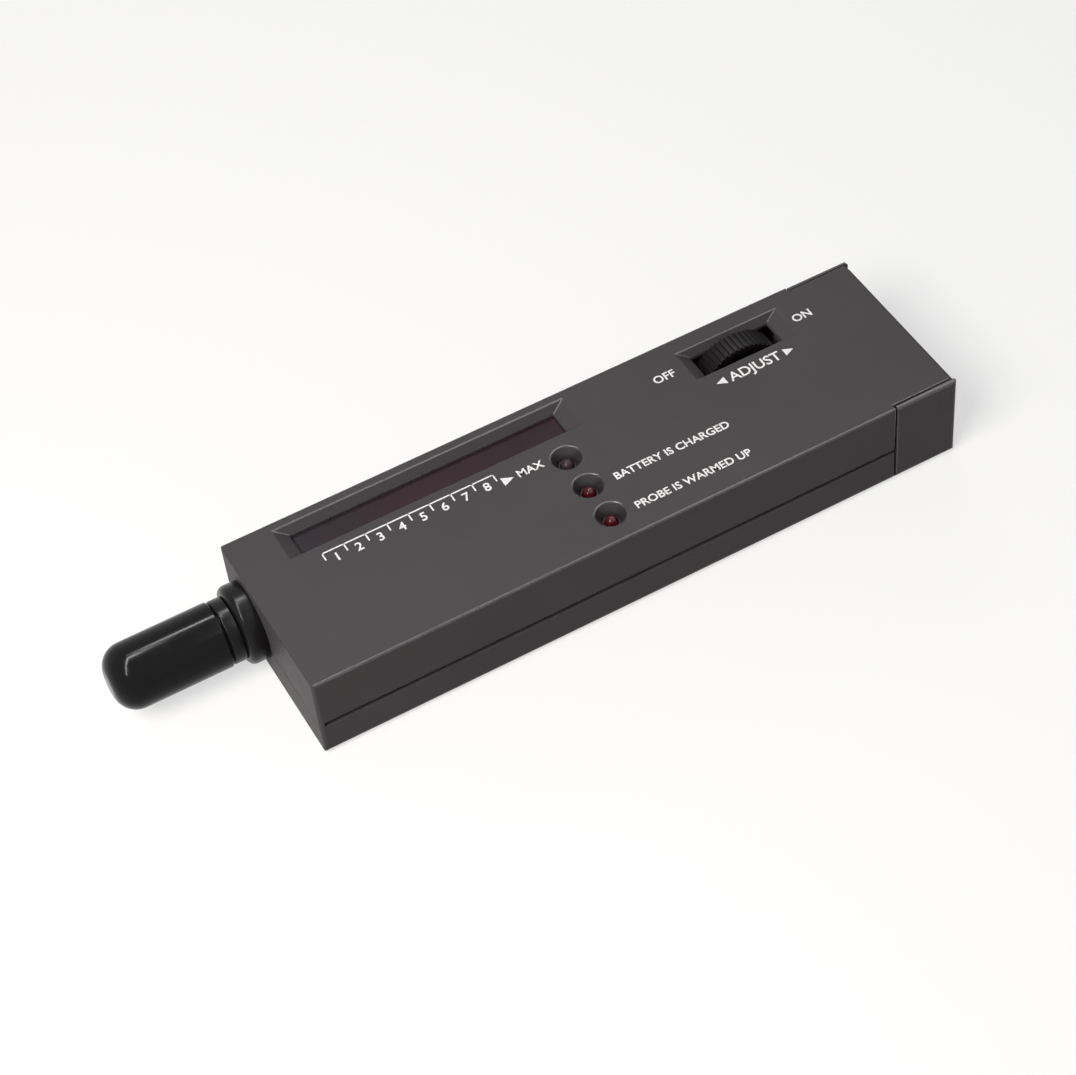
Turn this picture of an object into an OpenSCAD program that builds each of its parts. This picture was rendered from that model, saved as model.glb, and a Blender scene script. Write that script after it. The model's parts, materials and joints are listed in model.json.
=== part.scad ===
// Hand-held thermal diamond tester with a capped probe, a bar meter and a slide-off battery cover.
// Millimetres. X runs from the probe to the battery cover, Y to the meter side, Z up.
// The origin is the centre of the case's underside.

/* [Case] */
// Length of the case, without the probe
body_l = 150; // [148:0.5:175]
// Width of the case
body_w = 43; // [42.5:0.5:55]
// Height of the case
body_h = 22; // [22:0.25:28]
// Thickness of the side and end walls
wall = 2; // [1.8:0.1:2.3]
// Thickness of the top
top_t = 2; // [1.8:0.1:2.2]
// Thickness of the floor
floor_t = 2.1; // [2:0.05:2.3]
// Height of the parting groove's lower edge
part_z = 8.5; // [8:0.25:11]
// Height of the parting groove
groove_h = 1.1; // [0.3:0.1:1.2]
// How far the lower shell's lip reaches into the upper shell
lip_h = 0.6; // [0.4:0.1:1.5]
// Rounding of the top edges
top_r = 0.6; // [0.3:0.1:1]
// Rounding of the lower long edges
low_r = 2; // [0.5:0.1:2.5]
// Rounding of the lower end edges
low_end_r = 1; // [0.5:0.1:2]
// Rounding of the upright corners
corner_r = 1; // [0.5:0.1:2]

/* [Meter window] */
// Length of the window opening
window_l = 61.8; // [50:0.1:64]
// Width of the window opening
window_w = 5.8; // [4:0.1:6.2]
// Distance from the probe end to the window opening
window_from_end = 13.9; // [13:0.1:16]
// Distance from the far side to the middle of the window
window_from_side = 6.7; // [6.5:0.1:8]
// Width of the bevel at the window's ends
window_end_bevel = 3.2; // [1:0.1:3.5]
// Width of the bevel along the window's sides
window_side_bevel = 1.5; // [0.5:0.1:1.8]
// Depth of the bevelled recesses
recess_d = 1.8; // [1:0.1:2]
// Thickness of the rim that the window strip is set against
rim_t = 0.8; // [0.5:0.1:1.2]
// Thickness of the window strip
lens_t = 1.2; // [0.8:0.1:1.5]
// Overlap of the window strip behind the rim
lens_lap = 1; // [0.5:0.1:1]
// Length of one bar display
bar_l = 25.4; // [20:0.1:26]
// Width of a bar display
bar_w = 8; // [6.5:0.1:8.4]
// Number of bars in one display
bar_count = 10; // [5:1:10]

/* [Lamps] */
// Distance from the probe end to the lamps
lamp_from_end = 71.3; // [70:0.1:80]
// Distance from the near side to the first lamp
lamp_from_side = 7.2; // [6.5:0.1:8]
// Spacing of the lamps
lamp_pitch = 9.15; // [8.5:0.05:9.5]
// Radius of a lamp
lamp_r = 1.5; // [1.2:0.1:1.7]
// Height of a lamp from its flange to the top of its dome
lamp_h = 5.3; // [4.5:0.1:6]
// How far the top of a lamp lies below the top face
lamp_sink = 0.9; // [0.4:0.1:1.2]
// Radius of the lamp dish at the top face
dish_r = 3.3; // [2.8:0.1:3.8]
// Depth of the lamp dish
dish_d = 2.4; // [1.8:0.1:2.6]

/* [Level wheel] */
// Gap between the level wheel and the floor
wheel_gap = 0.4; // [0.2:0.1:2]
// Width of the level wheel
wheel_w = 5; // [4:0.1:5.2]
// How far the wheel stands above the top face
wheel_proud = 0.5; // [0.4:0.1:1.5]
// Number of ribs on the wheel
wheel_ribs = 50; // [36:1:56]
// Depth of the wheel's ribs
rib_d = 0.45; // [0.2:0.05:0.6]
// Distance from the battery end to the wheel's axis
wheel_from_end = 32.25; // [32:0.25:34]
// Distance from the far side to the middle of the wheel
wheel_from_side = 8.35; // [8.2:0.05:8.8]
// Free length of the slot beyond the wheel at each end
slot_end_gap = 3.2; // [1:0.1:4]
// Width of the wheel's slot
slot_w = 6.75; // [6.4:0.05:7]
// How far the middle of the slot lies in from the middle of the wheel
slot_shift = 0.4; // [0:0.05:0.6]
// Width of the bevel at the slot's ends
slot_end_bevel = 2.9; // [1:0.1:3.5]
// Width of the bevel along the slot's sides
slot_side_bevel = 1.1; // [0.5:0.1:1.6]
// Radius of the control's shaft
shaft_r = 1.5; // [1.2:0.1:2]

/* [Probe] */
// Distance from the far side to the probe's axis
probe_from_side = 12; // [11:0.25:13]
// Radius of the collar against the case
collar_r = 8.7; // [8.2:0.1:9.2]
// Length of the collar
collar_l = 4.3; // [3:0.1:6]
// Rounding of the collar's front edge
collar_edge = 1.5; // [0.5:0.1:1.8]
// Radius of the nose's seat ring
seat_r = 7; // [6.6:0.1:7.5]
// Length of the nose's seat ring
seat_l = 2.9; // [2:0.1:4]
// Radius of the spigot that the cap is pushed on
spigot_r = 6; // [5.5:0.1:6.2]
// Length of the spigot
spigot_l = 5.8; // [4:0.1:8]
// Length of the nose's cone
cone_l = 10.5; // [9:0.1:14]
// Radius of the cone's front end
cone_r = 2; // [1.6:0.1:2.5]
// Radius of the tip's pin
pin_r = 0.8; // [0.5:0.05:1]
// How far the pin stands out of the nose
pin_out = 1.5; // [1:0.1:3]
// Travel of the tip
tip_travel = 1.2; // [0.5:0.1:1.4]
// Outer radius of the cap
cap_r = 7.2; // [6.9:0.1:8]
// Length of the cap
cap_l = 24.5; // [23:0.1:30]
// Rounding of the cap's closed end
cap_end_r = 5; // [3:0.1:6]
// Thickness of the cap's closed end
cap_end_t = 1.8; // [1:0.1:3]
// Gap between the cap and its seat
cap_gap = 0.3; // [0.1:0.05:0.6]

/* [Battery and cover] */
// Room between the battery bay and the level wheel
bay_room = 1.05; // [0.4:0.05:2]
// Height of the battery's studs
stud_h = 2.5; // [2:0.1:3]
// Spacing of the battery's studs
stud_pitch = 12.7; // [12:0.1:13.5]
// Clearance around the battery
battery_fit = 0.4; // [0.2:0.05:0.5]
// Length of the battery cover
door_l = 14.7; // [12:0.1:15]
// Gap in front of the cover
door_gap = 0.5; // [0.1:0.05:0.8]
// Seam between the top face and the cover's sides
door_seam = 0.35; // [0.15:0.05:0.5]
// Thickness of the cover's sides
door_t = 1; // [0.8:0.05:1.2]
// Thickness of the cover's floor and end
door_floor = 1.2; // [0.9:0.05:1.3]
// How far the cover stands out past the top
door_proud = 1.1; // [0.2:0.1:1.5]
// Rounding of the cover's upper edges
door_roll = 0.9; // [0.3:0.05:1]
// Rounding of the cover's upright corners
door_corner = 1.8; // [1:0.1:3]
// Rounding of the cover's upper end
door_end_r = 1.5; // [0.6:0.1:3]
// Number of grip grooves under the cover
grip_count = 3; // [1:1:5]

/* [Boards and sound] */
// Thickness of the circuit boards
board_t = 1.6; // [1:0.1:1.7]
// Distance from the probe end to the main board
board_from_end = 15; // [14:0.5:16]
// Length of the main board past the lamps
board_past_lamps = 15.7; // [15:0.1:18]
// Room between the buzzer and the main board
board_room = 1.7; // [1:0.1:2]
// Radius of the buzzer
buzzer_r = 11; // [9:0.1:11.5]
// Height of the buzzer
buzzer_h = 5; // [4:0.1:5.2]
// Distance from the probe end to the buzzer
buzzer_from_end = 37; // [36:0.5:39]
// Radius of a sound hole
sound_r = 0.8; // [0.5:0.05:1]
// Spacing of the rings of sound holes
sound_pitch = 3.2; // [2.5:0.1:3.3]
// Distance from the probe end to the touch panel
panel_from_end = 61; // [60:0.5:68]
// Distance from the touch panel to the battery cover
panel_door = 10.3; // [4:0.1:20]
// Width of the touch panel
panel_w = 24; // [14:0.5:25]
// Slant of the touch panel's end
panel_slant = 14; // [4:0.5:16]
// Thickness of the touch panel
panel_t = 0.5; // [0.3:0.05:0.6]

/* [Screws and fits] */
// Radius of a case screw's thread
screw_r = 1; // [0.8:0.05:1.2]
// Radius of a case screw's head
head_r = 1.9; // [1.6:0.05:2]
// Radius of a board screw's thread
board_screw_r = 0.85; // [0.7:0.05:1]
// Sliding clearance between flat faces
fit = 0.1; // [0.05:0.01:0.15]
// Running clearance between round faces
run = 0.05; // [0.03:0.01:0.08]

/* [Hidden] */
$fn = 48;
far = 500;
over = 1;

// Case faces and the inside
end_x = body_l / 2;
side_y = body_w / 2;
in_x = -end_x + wall;
in_y = side_y - wall;
ceil_z = body_h - top_t;
lip_t = wall - door_t - fit;
upper_z = part_z + groove_h;
lip_top = upper_z + lip_h;
end_wall_x = in_x - lip_t - fit;
join_z = ceil_z + top_t / 4;

// Battery cover and the tongue that it slides over
door_x = end_x - door_l;
tongue_y = in_y + lip_t;
tongue_z = door_floor + fit;
seam_y = tongue_y + fit - door_seam;
door_end_x = end_x + door_proud;
door_in_x = door_end_x - door_floor;
tongue_x = door_in_x - fit;
grip_d = 0.4;
grip_pitch = 2.4;
grip_w = 1.2;
grip_l = 16;
grip_in = 4;
grip_x = door_x + grip_in;

// Level wheel
wheel_r = (body_h + wheel_proud - floor_t - wheel_gap) / 2;
wheel_x = end_x - wheel_from_end;
wheel_y = side_y - wheel_from_side;
wheel_z = body_h + wheel_proud - wheel_r;
wheel_near = wheel_y - wheel_w / 2;
wheel_far = wheel_y + wheel_w / 2;
wheel_head_h = 0.6;

// Main board, between the lamps and the battery bay
head_gap = 0.3;
pillar_r = head_r + head_gap + 1;
pillar_gap = 0.8;
bulkhead_gap = 2.4;
board_gap = 0.5;
lamp_x = -end_x + lamp_from_end;
board_x0 = -end_x + board_from_end;
board_x1 = lamp_x + board_past_lamps;
board_y = in_y - board_gap;
screw_x3 = board_x1 + pillar_gap + pillar_r;

// Battery, which fills the bay, its studs and the bay's walls
rib_t = 1.2;
snap_t = 2.6;
snap_gap = 0.6;
snap_w = 12;
snap_side = 0.75;
bulkhead_x0 = screw_x3 + pillar_r + bulkhead_gap;
bulkhead_x1 = bulkhead_x0 + rib_t;
contact_x = bulkhead_x1 + snap_gap + snap_t;
battery_x0 = contact_x + stud_h;
battery_x1 = door_in_x - battery_fit;
bay_wall_y = wheel_near - wheel_head_h - bay_room - rib_t;
battery_y0 = -in_y + battery_fit;
battery_w = bay_wall_y - battery_fit - battery_y0;
battery_y = battery_y0 + battery_w / 2;
battery_h = ceil_z - floor_t - battery_fit;
battery_z = floor_t + fit + battery_h / 2;
battery_edge = 2.5;
stud_r = 2.75;
socket_r = 4;
snap_l = battery_w - 2 * snap_side;
lead_side = 3.5;
lead_pitch = 2;
minus_y = battery_y + snap_l / 2 - lead_side;
plus_y = minus_y - lead_pitch;
notch_y0 = plus_y - lead_pitch;
notch_y1 = minus_y + lead_pitch;
notch_drop = 1;
notch_z = part_z - notch_drop;

// Meter window
window_x0 = -end_x + window_from_end;
window_x1 = window_x0 + window_l;
window_y = side_y - window_from_side;
window_y0 = window_y - window_w / 2;
window_y1 = window_y + window_w / 2;
recess_z = body_h - recess_d;
lens_z1 = recess_z - rim_t;
lens_z0 = lens_z1 - lens_t;
frame_t = 1;
frame_side = lens_lap + fit + frame_t;
bay_top = recess_z - frame_t - 2 * fit;
bar_gap = 0.2;
bar_end = 2.6;
bar_x = window_x0 + bar_end;
bar_y0 = window_y - bar_w / 2;
bar_top = lens_z0 - bar_gap;
bar_mark_l = 5;
bar_mark_t = 0.4;
bar_mark_share = 0.6;

// Height of the main board, over the buzzer
buzzer_z = floor_t + fit;
board_z0 = buzzer_z + buzzer_h + board_room;
board_z1 = board_z0 + board_t;

// Screws, each pillar placed from the end or side that it stands by
post_r = screw_r + 1.7;
head_h = 1.4;
head_seat = 4.5;
screw_l = 11;
screw_gap = 0.2;
slot_depth = 0.5;
slot_reach = 0.6;
slot_half = 0.12;
thread_spare = 0.5;
pillar_drop = 0.2;
pillar_top = part_z - pillar_drop;
pillar_end_near = 9;
pillar_end_far = 8.5;
pillar_side = 3.5;
pillar_inset = 0.5;
pillar_wheel = 0.55;
case_screw_at = [
    [-end_x + pillar_end_near, -in_y + pillar_side + pillar_inset],
    [-end_x + pillar_end_far, in_y - pillar_side],
    [screw_x3, -in_y + pillar_side],
    [wheel_x + wheel_r + pillar_r + pillar_wheel, in_y - pillar_side - 2 * pillar_inset]
];
board_post_r = board_screw_r + 1.6;
board_head_r = board_screw_r + 0.85;
board_head_h = 1.1;
board_screw_l = 7.1;
board_screw_x0 = board_x0 + 6;
board_screw_x1 = board_x1 - 3.5;
board_screw_side = 4;
board_screw_bars = 1.8;
board_screw_drop = 5;
board_screw_y = bar_y0 - board_screw_bars;
board_screw_at = [
    [board_screw_x0, -in_y + board_screw_side],
    [board_screw_x1, -in_y + board_screw_side],
    [board_screw_x1, board_screw_y],
    [board_screw_x0, board_screw_y - board_screw_drop]
];

// Lamps
lamp_z = body_h - lamp_sink - lamp_h;
lamp_y = [for (i = [0 : 2]) -side_y + lamp_from_side + i * lamp_pitch];
flange_r = lamp_r + 0.4;
flange_h = 1;
lamp_hole_r = lamp_r + 0.1;
dish_low_r = lamp_r + 0.3;
lamp_boss_z = body_h - dish_d - 0.8;
lamp_boss_r = dish_r + 0.5;
leg_pitch = 2.54;
leg_w = 0.5;

// Wheel slot, and the control that the wheel turns
slot_chord = sqrt(pow(wheel_r, 2) - pow(wheel_r - wheel_proud - recess_d, 2));
slot_x0 = wheel_x - slot_chord - slot_end_gap;
slot_x1 = wheel_x + slot_chord + slot_end_gap;
slot_y0 = wheel_y - slot_shift - slot_w / 2;
slot_y1 = wheel_y - slot_shift + slot_w / 2;
rim_in_r = wheel_r - 1.8;
web_t = 1.6;
hub_r = shaft_r + 1.9;
hub_floor = 0.6;
wheel_screw_r = 0.7;
wheel_screw_l = 3;
wheel_head_r = 1.5;
shaft_near = wheel_near + hub_floor + run;
control_gap = 0.35;
control_y0 = wheel_far + control_gap;
control_side = 0.3;
control_board_y1 = in_y - control_side;
control_board_y0 = control_board_y1 - board_t;
control_rim = 3.5;
control_r = wheel_r - control_rim;
control_board_l = 19;
control_x0 = wheel_x - control_board_l / 2;
control_x1 = wheel_x + control_board_l / 2;
rail_h = 0.9;
rail_t = 0.8;
rail_grip = 1.4;
control_drop = 0.4;
control_board_z0 = floor_t + rail_h;
control_board_z1 = lens_z1 - control_drop;
rail_y = control_board_y0 - rail_t;
rail_z = control_board_z0 + rail_grip;

// Probe, measured outwards from the end of the case
probe_y = side_y - probe_from_side;
probe_z = body_h / 2;
neck_r = collar_r - 2.3;
inner_flange_r = neck_r + 1.2;
inner_flange_t = 1.5;
flange_d = -wall - fit / 2;
barrel_r = neck_r - 1.4;
barrel_in = 5;
seat_d = collar_l + seat_l;
seat_edge = 0.4;
spigot_d = seat_d + spigot_l;
cone_d = spigot_d + cone_l;
cone_base_r = spigot_r - 0.8;
cone_step = 0.6;
chamber_r = 2.2;
chamber_d = spigot_d + 4;
guide_r = pin_r + run;
tip_head_r = chamber_r - 0.3;
tip_head_t = 1.4;
tip_head_d = chamber_d - run - tip_head_t;
bead_d = tip_head_d + tip_head_t * 0.3;
bore_d = tip_head_d + tip_head_t * 0.7;
pin_d = cone_d + pin_out;
pin_nose = 0.6;
spring_r = 1.45;
spring_wire = 0.2;
spring_turns = 6;
spring_spare = 1.7;
spring_air = 0.05;
spring_steps = 12;
plug_d = tip_head_d - 2 * spring_wire * spring_turns - tip_travel - spring_spare;
plug_r = chamber_r - run;
stem_r = 0.75;
stem_bore = 0.5;
stem_gap = 0.15;
stem_d = plug_d - 0.7;
bead_r = 0.42;
bead_wire_r = 0.12;
bead_wire_y = 0.22;
probe_lead_y = 1.5;
cap_d = seat_d + cap_gap;
cap_bore = spigot_r + 0.08;
cap_rim = 0.4;
cap_end_d = cap_d + cap_l;
cap_hollow_d = cap_end_d - cap_end_t;
cap_hollow_r = max(cap_end_r - cap_end_t, cap_rim);

// Buzzer and touch panel
buzzer_x = -end_x + buzzer_from_end;
buzzer_fit = 0.2;
buzzer_wall = 1;
buzzer_step = 1.2;
buzzer_hole_r = 2.5;
buzzer_ring_r = buzzer_r + buzzer_fit;
buzzer_ring_z = floor_t + buzzer_h * 0.6;
disc_t = 0.3;
panel_x0 = -end_x + panel_from_end;
panel_x1 = door_x - panel_door;
tab_in = 8;
tab_side = 3;
tab_l = 3;
tab_h = 2;
tab_x = board_x1 - tab_in;
tab_y = panel_w / 2 - tab_side;
tab_top = floor_t + tab_h;
lead_r = 0.45;
lead_stub = 0.4;

// Parts on the main board
chip_w = 6.4;
chip_h = 3.3;
chip_up = 0.5;
chip_leg_w = 0.6;
chip_leg_t = 0.3;
driver_l = 22.9;
driver_legs = 9;
driver_in = 13;
driver_x = board_x0 + driver_in;
amplifier_l = 9.8;
amplifier_legs = 4;
amplifier_gap = 3;
amplifier_x = driver_x + driver_l + amplifier_gap;
can_r = 2.5;
can_h = 7;
can_pitch = 6.5;
resistor_r = 1.1;
resistor_l = 6.3;
resistor_count = 5;
resistor_pitch = 4;
resistor_gap = 1.45;
resistor_y = bar_y0 - resistor_gap - resistor_l / 2;
chip_gap = 0.55;
chip_row = 10;
chip_half = chip_w / 2 + chip_leg_t;
chip_y1 = resistor_y - resistor_l / 2 - chip_gap - chip_half;
chip_y0 = chip_y1 - chip_row;
trimmer_w = 6.5;
trimmer_h = 4;
trimmer_gap = 5;
trimmer_x = lamp_x + trimmer_gap;
trimmer_slot = [3, 0.6, 1.2];
control_lead_count = 4;
control_lead_pitch = 1.5;
control_lead_up = 1;
control_lead_y = 6;
lead_foot = 2.5;
probe_lead_drop = 2;
buzzer_lead_y = 1.2;
buzzer_lead_l = 7;
panel_lead_l = 2.5;

// A box between two corners
module slab(x0, x1, y0, y1, z0, z1) {
    translate([x0, y0, z0]) cube([x1 - x0, y1 - y0, z1 - z0]);
}

// A round post, or the cutter of a round hole, between two heights
module post(p, z0, z1, r) {
    translate([p[0], p[1], z0]) cylinder(h = z1 - z0, r = r);
}

// Points on an arc about a centre
function arc(c, r, a0, a1, n = 8) =
    [for (i = [0 : n]) let (a = a0 + (a1 - a0) * i / n) c + r * [cos(a), sin(a)]];

// Points of a rectangle whose lower and upper corners are rounded
function soft_rect(x0, x1, y0, y1, r_low, r_top) = concat(
    arc([x1 - r_low, y0 + r_low], r_low, -90, 0),
    arc([x1 - r_top, y1 - r_top], r_top, 0, 90),
    arc([x0 + r_top, y1 - r_top], r_top, 90, 180),
    arc([x0 + r_low, y0 + r_low], r_low, 180, 270)
);

// Prisms that carry an outline along X or Y
module along_x(x0, x1) {
    translate([x0, 0, 0]) rotate([90, 0, 90]) linear_extrude(x1 - x0) children();
}
module along_y(y0, y1) {
    translate([0, y1, 0]) rotate([90, 0, 0]) linear_extrude(y1 - y0) children();
}

// The outside of the case: three rounded outlines carried through each other
module case_block(x1, r_top, r_corner, r_end = top_r) {
    intersection() {
        along_x(-far, far) polygon(soft_rect(-side_y, side_y, 0, body_h, low_r, r_top));
        along_y(-far, far) polygon(soft_rect(-end_x, x1, 0, body_h, low_end_r, r_end));
        translate([0, 0, -over]) linear_extrude(body_h + 2 * over)
            polygon(soft_rect(-end_x, x1, -side_y, side_y, r_corner, r_corner));
    }
}

// A bevelled recess in the top face, mitred at its corners, about an opening
module bevel_recess(x0, x1, y0, y1, end_bevel, side_bevel) {
    top = body_h + over;
    function side(a0, a1, b) = [
        [a0, recess_z], [a1, recess_z], [a1 + b, body_h], [a1 + b, top], [a0 - b, top], [a0 - b, body_h]
    ];
    intersection() {
        along_y(y0 - far, y1 + far) polygon(side(x0, x1, end_bevel));
        along_x(x0 - far, x1 + far) polygon(side(y0, y1, side_bevel));
    }
}

// Puts a turned shape on the probe's axis, with its height measured outwards
module on_probe() {
    translate([-end_x, probe_y, probe_z]) rotate([0, -90, 0]) children();
}

// Puts a turned shape on the wheel's axis, with its height measured towards the far side
module on_wheel() {
    translate([wheel_x, 0, wheel_z]) rotate([-90, 0, 0]) children();
}

// A tube between two heights
module ring(r_in, r_out, z0, z1) {
    difference() {
        translate([0, 0, z0]) cylinder(h = z1 - z0, r = r_out);
        translate([0, 0, z0 - over]) cylinder(h = z1 - z0 + 2 * over, r = r_in);
    }
}

// Points of a smooth curve that leaves a along da and reaches b along db, with a straight stub at each end
function curve(a, da, b, db, n = 8) =
    let (p = a + lead_stub * da / norm(da), q = b - lead_stub * db / norm(db))
    concat([a], [for (i = [0 : n]) let (t = i / n, s = 1 - t)
        s * s * s * p + 3 * s * s * t * (p + da) + 3 * s * t * t * (q - db) + t * t * t * q], [b]);

// A round wire swept along points
module wire(points, r, sides = 8) {
    n = len(points);
    function along(i) = points[min(i + 1, n - 1)] - points[max(i - 1, 0)];
    function across(t) = let (c = cross(t, [0.31, 0.87, 0.38])) c / norm(c);
    function ring_at(i) = let (t = along(i) / norm(along(i)), u = across(t), v = cross(t, u))
        [for (k = [0 : sides - 1]) points[i] + r * (cos(360 * k / sides) * u + sin(360 * k / sides) * v)];
    skin = [for (i = [0 : n - 2], k = [0 : sides - 1])
        let (a = i * sides + k, b = i * sides + (k + 1) % sides)
        each [[a, a + sides, b], [b, a + sides, b + sides]]];
    last = (n - 1) * sides;
    ends = [for (k = [1 : sides - 2]) each [[0, k, k + 1], [last, last + k + 1, last + k]]];
    polyhedron(points = [for (i = [0 : n - 1]) each ring_at(i)], faces = concat(skin, ends));
}

module probe_hole() {
    on_probe() translate([0, 0, -wall - over]) cylinder(h = wall + 2 * over, r = neck_r + fit);
}

module upper_shell() {
    color("#575455") difference() {
        union() {
            difference() {
                intersection() {
                    case_block(end_x, top_r, corner_r);
                    union() {
                        slab(-far, far, -far, far, upper_z, far);
                        // The wall of the probe end closes the groove there
                        slab(-far, end_wall_x, -far, far, part_z + fit, far);
                    }
                }
                slab(in_x, far, -in_y, in_y, 0, ceil_z);
                slab(end_wall_x, far, -tongue_y - fit, tongue_y + fit, 0, lip_top + fit);
                for (s = [-1, 1])
                    slab(door_x, far, s > 0 ? seam_y : -far, s > 0 ? far : -seam_y, 0, far);
                slab(tongue_x, far, -far, far, 0, ceil_z);
            }
            // Frames that carry the window strip and the wheel's slot, and the lamps' bosses
            slab(window_x0 - frame_side, window_x1 + frame_side, window_y0 - frame_side, in_y + wall / 4,
                lens_z0, join_z);
            slab(slot_x0 - frame_t, slot_x1 + frame_t, slot_y0 - frame_t, slot_y1 + frame_t,
                recess_z - frame_t, join_z);
            for (y = lamp_y) post([lamp_x, y], lamp_boss_z, join_z, lamp_boss_r);
            for (p = case_screw_at) post(p, pillar_top + fit, join_z, post_r);
            for (p = board_screw_at) post(p, board_z1, join_z, board_post_r);
        }
        // Window: bevel, opening and the rebate for the strip
        bevel_recess(window_x0, window_x1, window_y0, window_y1, window_end_bevel, window_side_bevel);
        slab(window_x0, window_x1, window_y0, window_y1, 0, far);
        lens_box(fit, lens_z0 - over);
        // Wheel slot
        bevel_recess(slot_x0, slot_x1, slot_y0, slot_y1, slot_end_bevel, slot_side_bevel);
        slab(slot_x0, slot_x1, slot_y0, slot_y1, lip_top, far);
        // Lamp dishes
        dish_slope = (dish_r - dish_low_r) / dish_d;
        for (y = lamp_y) translate([lamp_x, y, 0]) {
            translate([0, 0, body_h - dish_d])
                cylinder(h = dish_d + over, r1 = dish_low_r, r2 = dish_r + dish_slope * over);
            translate([0, 0, lamp_boss_z - over]) cylinder(h = far, r = lamp_hole_r);
        }
        // Threads of the screws
        for (p = case_screw_at) post(p, 0, head_seat + screw_l + thread_spare, screw_r);
        for (p = board_screw_at) post(p, 0, board_z0 + board_screw_l + thread_spare, board_screw_r);
        probe_hole();
    }
}

module lower_shell() {
    color("#4b4849") difference() {
        union() {
            difference() {
                union() {
                    intersection() {
                        case_block(end_x, top_r, corner_r);
                        slab(-far, far, -far, far, -over, part_z);
                    }
                    slab(in_x - lip_t, tongue_x, -tongue_y, tongue_y, tongue_z, lip_top);
                }
                slab(in_x, far, -in_y, in_y, floor_t, far);
                slab(door_x, far, -far, far, -far, tongue_z);
                for (s = [-1, 1])
                    slab(door_x, far, s > 0 ? tongue_y : -far, s > 0 ? far : -tongue_y, -far, far);
                slab(tongue_x, far, -far, far, -far, far);
            }
            for (p = case_screw_at) post(p, floor_t / 2, pillar_top, pillar_r);
            // Bay wall beside the battery, and the bulkhead with its notch for the battery leads
            slab(bulkhead_x0, tongue_x, bay_wall_y, bay_wall_y + rib_t, (tongue_z + floor_t) / 2, bay_top);
            difference() {
                slab(bulkhead_x0, bulkhead_x1, -in_y, bay_wall_y + rib_t / 2, floor_t / 2, bay_top);
                slab(bulkhead_x0 - over, bulkhead_x1 + over, notch_y0, notch_y1, notch_z, far);
            }
            // Ring round the buzzer and the rail under the control's board
            translate([buzzer_x, 0, 0])
                ring(buzzer_ring_r, buzzer_ring_r + rib_t, floor_t / 2, buzzer_ring_z);
            difference() {
                slab(control_x0, control_x1, rail_y, in_y + lip_t / 2, floor_t / 2, rail_z);
                slab(-far, far, control_board_y0 - fit / 2, control_board_y1 + fit / 2,
                    control_board_z0, far);
            }
        }
        for (p = case_screw_at) {
            post(p, -over, head_seat, head_r + head_gap);
            post(p, 0, pillar_top + over, screw_r + screw_gap);
        }
        // One sound hole in the middle and two rings of them round it
        translate([buzzer_x, 0, 0]) {
            post([0, 0], -over, floor_t + over, sound_r);
            for (i = [1 : 2], k = [0 : 6 * i - 1])
                rotate(60 * k / i) post([sound_pitch * i, 0], -over, floor_t + over, sound_r);
        }
        translate([0, 0, -over]) linear_extrude(panel_t + over) panel_outline(fit);
        for (s = [-1, 1]) tab(s, fit);
        probe_hole();
    }
}

module battery_door() {
    color("#4b4849") difference() {
        intersection() {
            case_block(door_end_x, door_roll, door_corner, door_end_r);
            slab(door_x + door_gap, far, -far, far, -far, far);
        }
        slab(-far, door_in_x, -tongue_y - fit, tongue_y + fit, door_floor, far);
        slab(-far, far, -tongue_y - fit, tongue_y + fit, ceil_z - fit, far);
        for (i = [0 : grip_count - 1])
            translate([grip_x + i * grip_pitch, 0, 0])
                slab(0, grip_w, -grip_l / 2, grip_l / 2, -over, grip_d);
    }
}

// The window strip's place, grown by a clearance and reaching down to a height
module lens_box(grow, z0) {
    lap = lens_lap + grow;
    slab(window_x0 - lap, window_x1 + lap, window_y0 - lap, window_y1 + lap, z0, lens_z1);
}

module meter_window() {
    color("#3a1f22") lens_box(0, lens_z0);
}

module panel_outline(grow) {
    y = panel_w / 2;
    polygon([[panel_x0 - grow, -y - grow], [panel_x1 + grow, -y - grow], [panel_x1 + grow, y + grow],
        [panel_x0 + panel_slant - grow, y + grow]]);
}

// One of the panel's two tabs, which pass up through the floor
module tab(s, grow) {
    slab(tab_x - tab_l / 2 - grow, tab_x + tab_l / 2 + grow, s * tab_y - panel_t / 2 - grow,
        s * tab_y + panel_t / 2 + grow, panel_t / 2, tab_top + grow);
}

module conductive_panel() {
    color("#b9babb") union() {
        linear_extrude(panel_t) panel_outline(0);
        for (s = [-1, 1]) tab(s, 0);
    }
}

// A screw with its head down, its seat at a height
module screw(z, r_thread, l, r_head, h_head) {
    translate([0, 0, z - h_head]) difference() {
        union() {
            cylinder(h = h_head, r = r_head);
            cylinder(h = h_head + l, r = r_thread);
        }
        for (a = [0, 90]) rotate(a)
            slab(-r_head * slot_reach, r_head * slot_reach, -r_head * slot_half, r_head * slot_half,
                -over, h_head * slot_depth);
    }
}

module case_screws() {
    color("#8d8f91") for (p = case_screw_at)
        translate([p[0], p[1], 0]) screw(head_seat, screw_r, screw_l, head_r, head_h);
}

module board_screws() {
    color("#8d8f91") for (p = board_screw_at)
        translate([p[0], p[1], 0]) screw(board_z0, board_screw_r, board_screw_l, board_head_r, board_head_h);
}

module probe_collar() {
    color("#1c1b1c") on_probe() rotate_extrude() polygon(concat(
        [[barrel_r, flange_d - inner_flange_t], [inner_flange_r, flange_d - inner_flange_t],
            [inner_flange_r, flange_d], [neck_r, flange_d], [neck_r, fit / 2], [collar_r, fit / 2]],
        arc([collar_r - collar_edge, collar_l - collar_edge], collar_edge, 0, 90),
        [[barrel_r, collar_l]]
    ));
}

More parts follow.
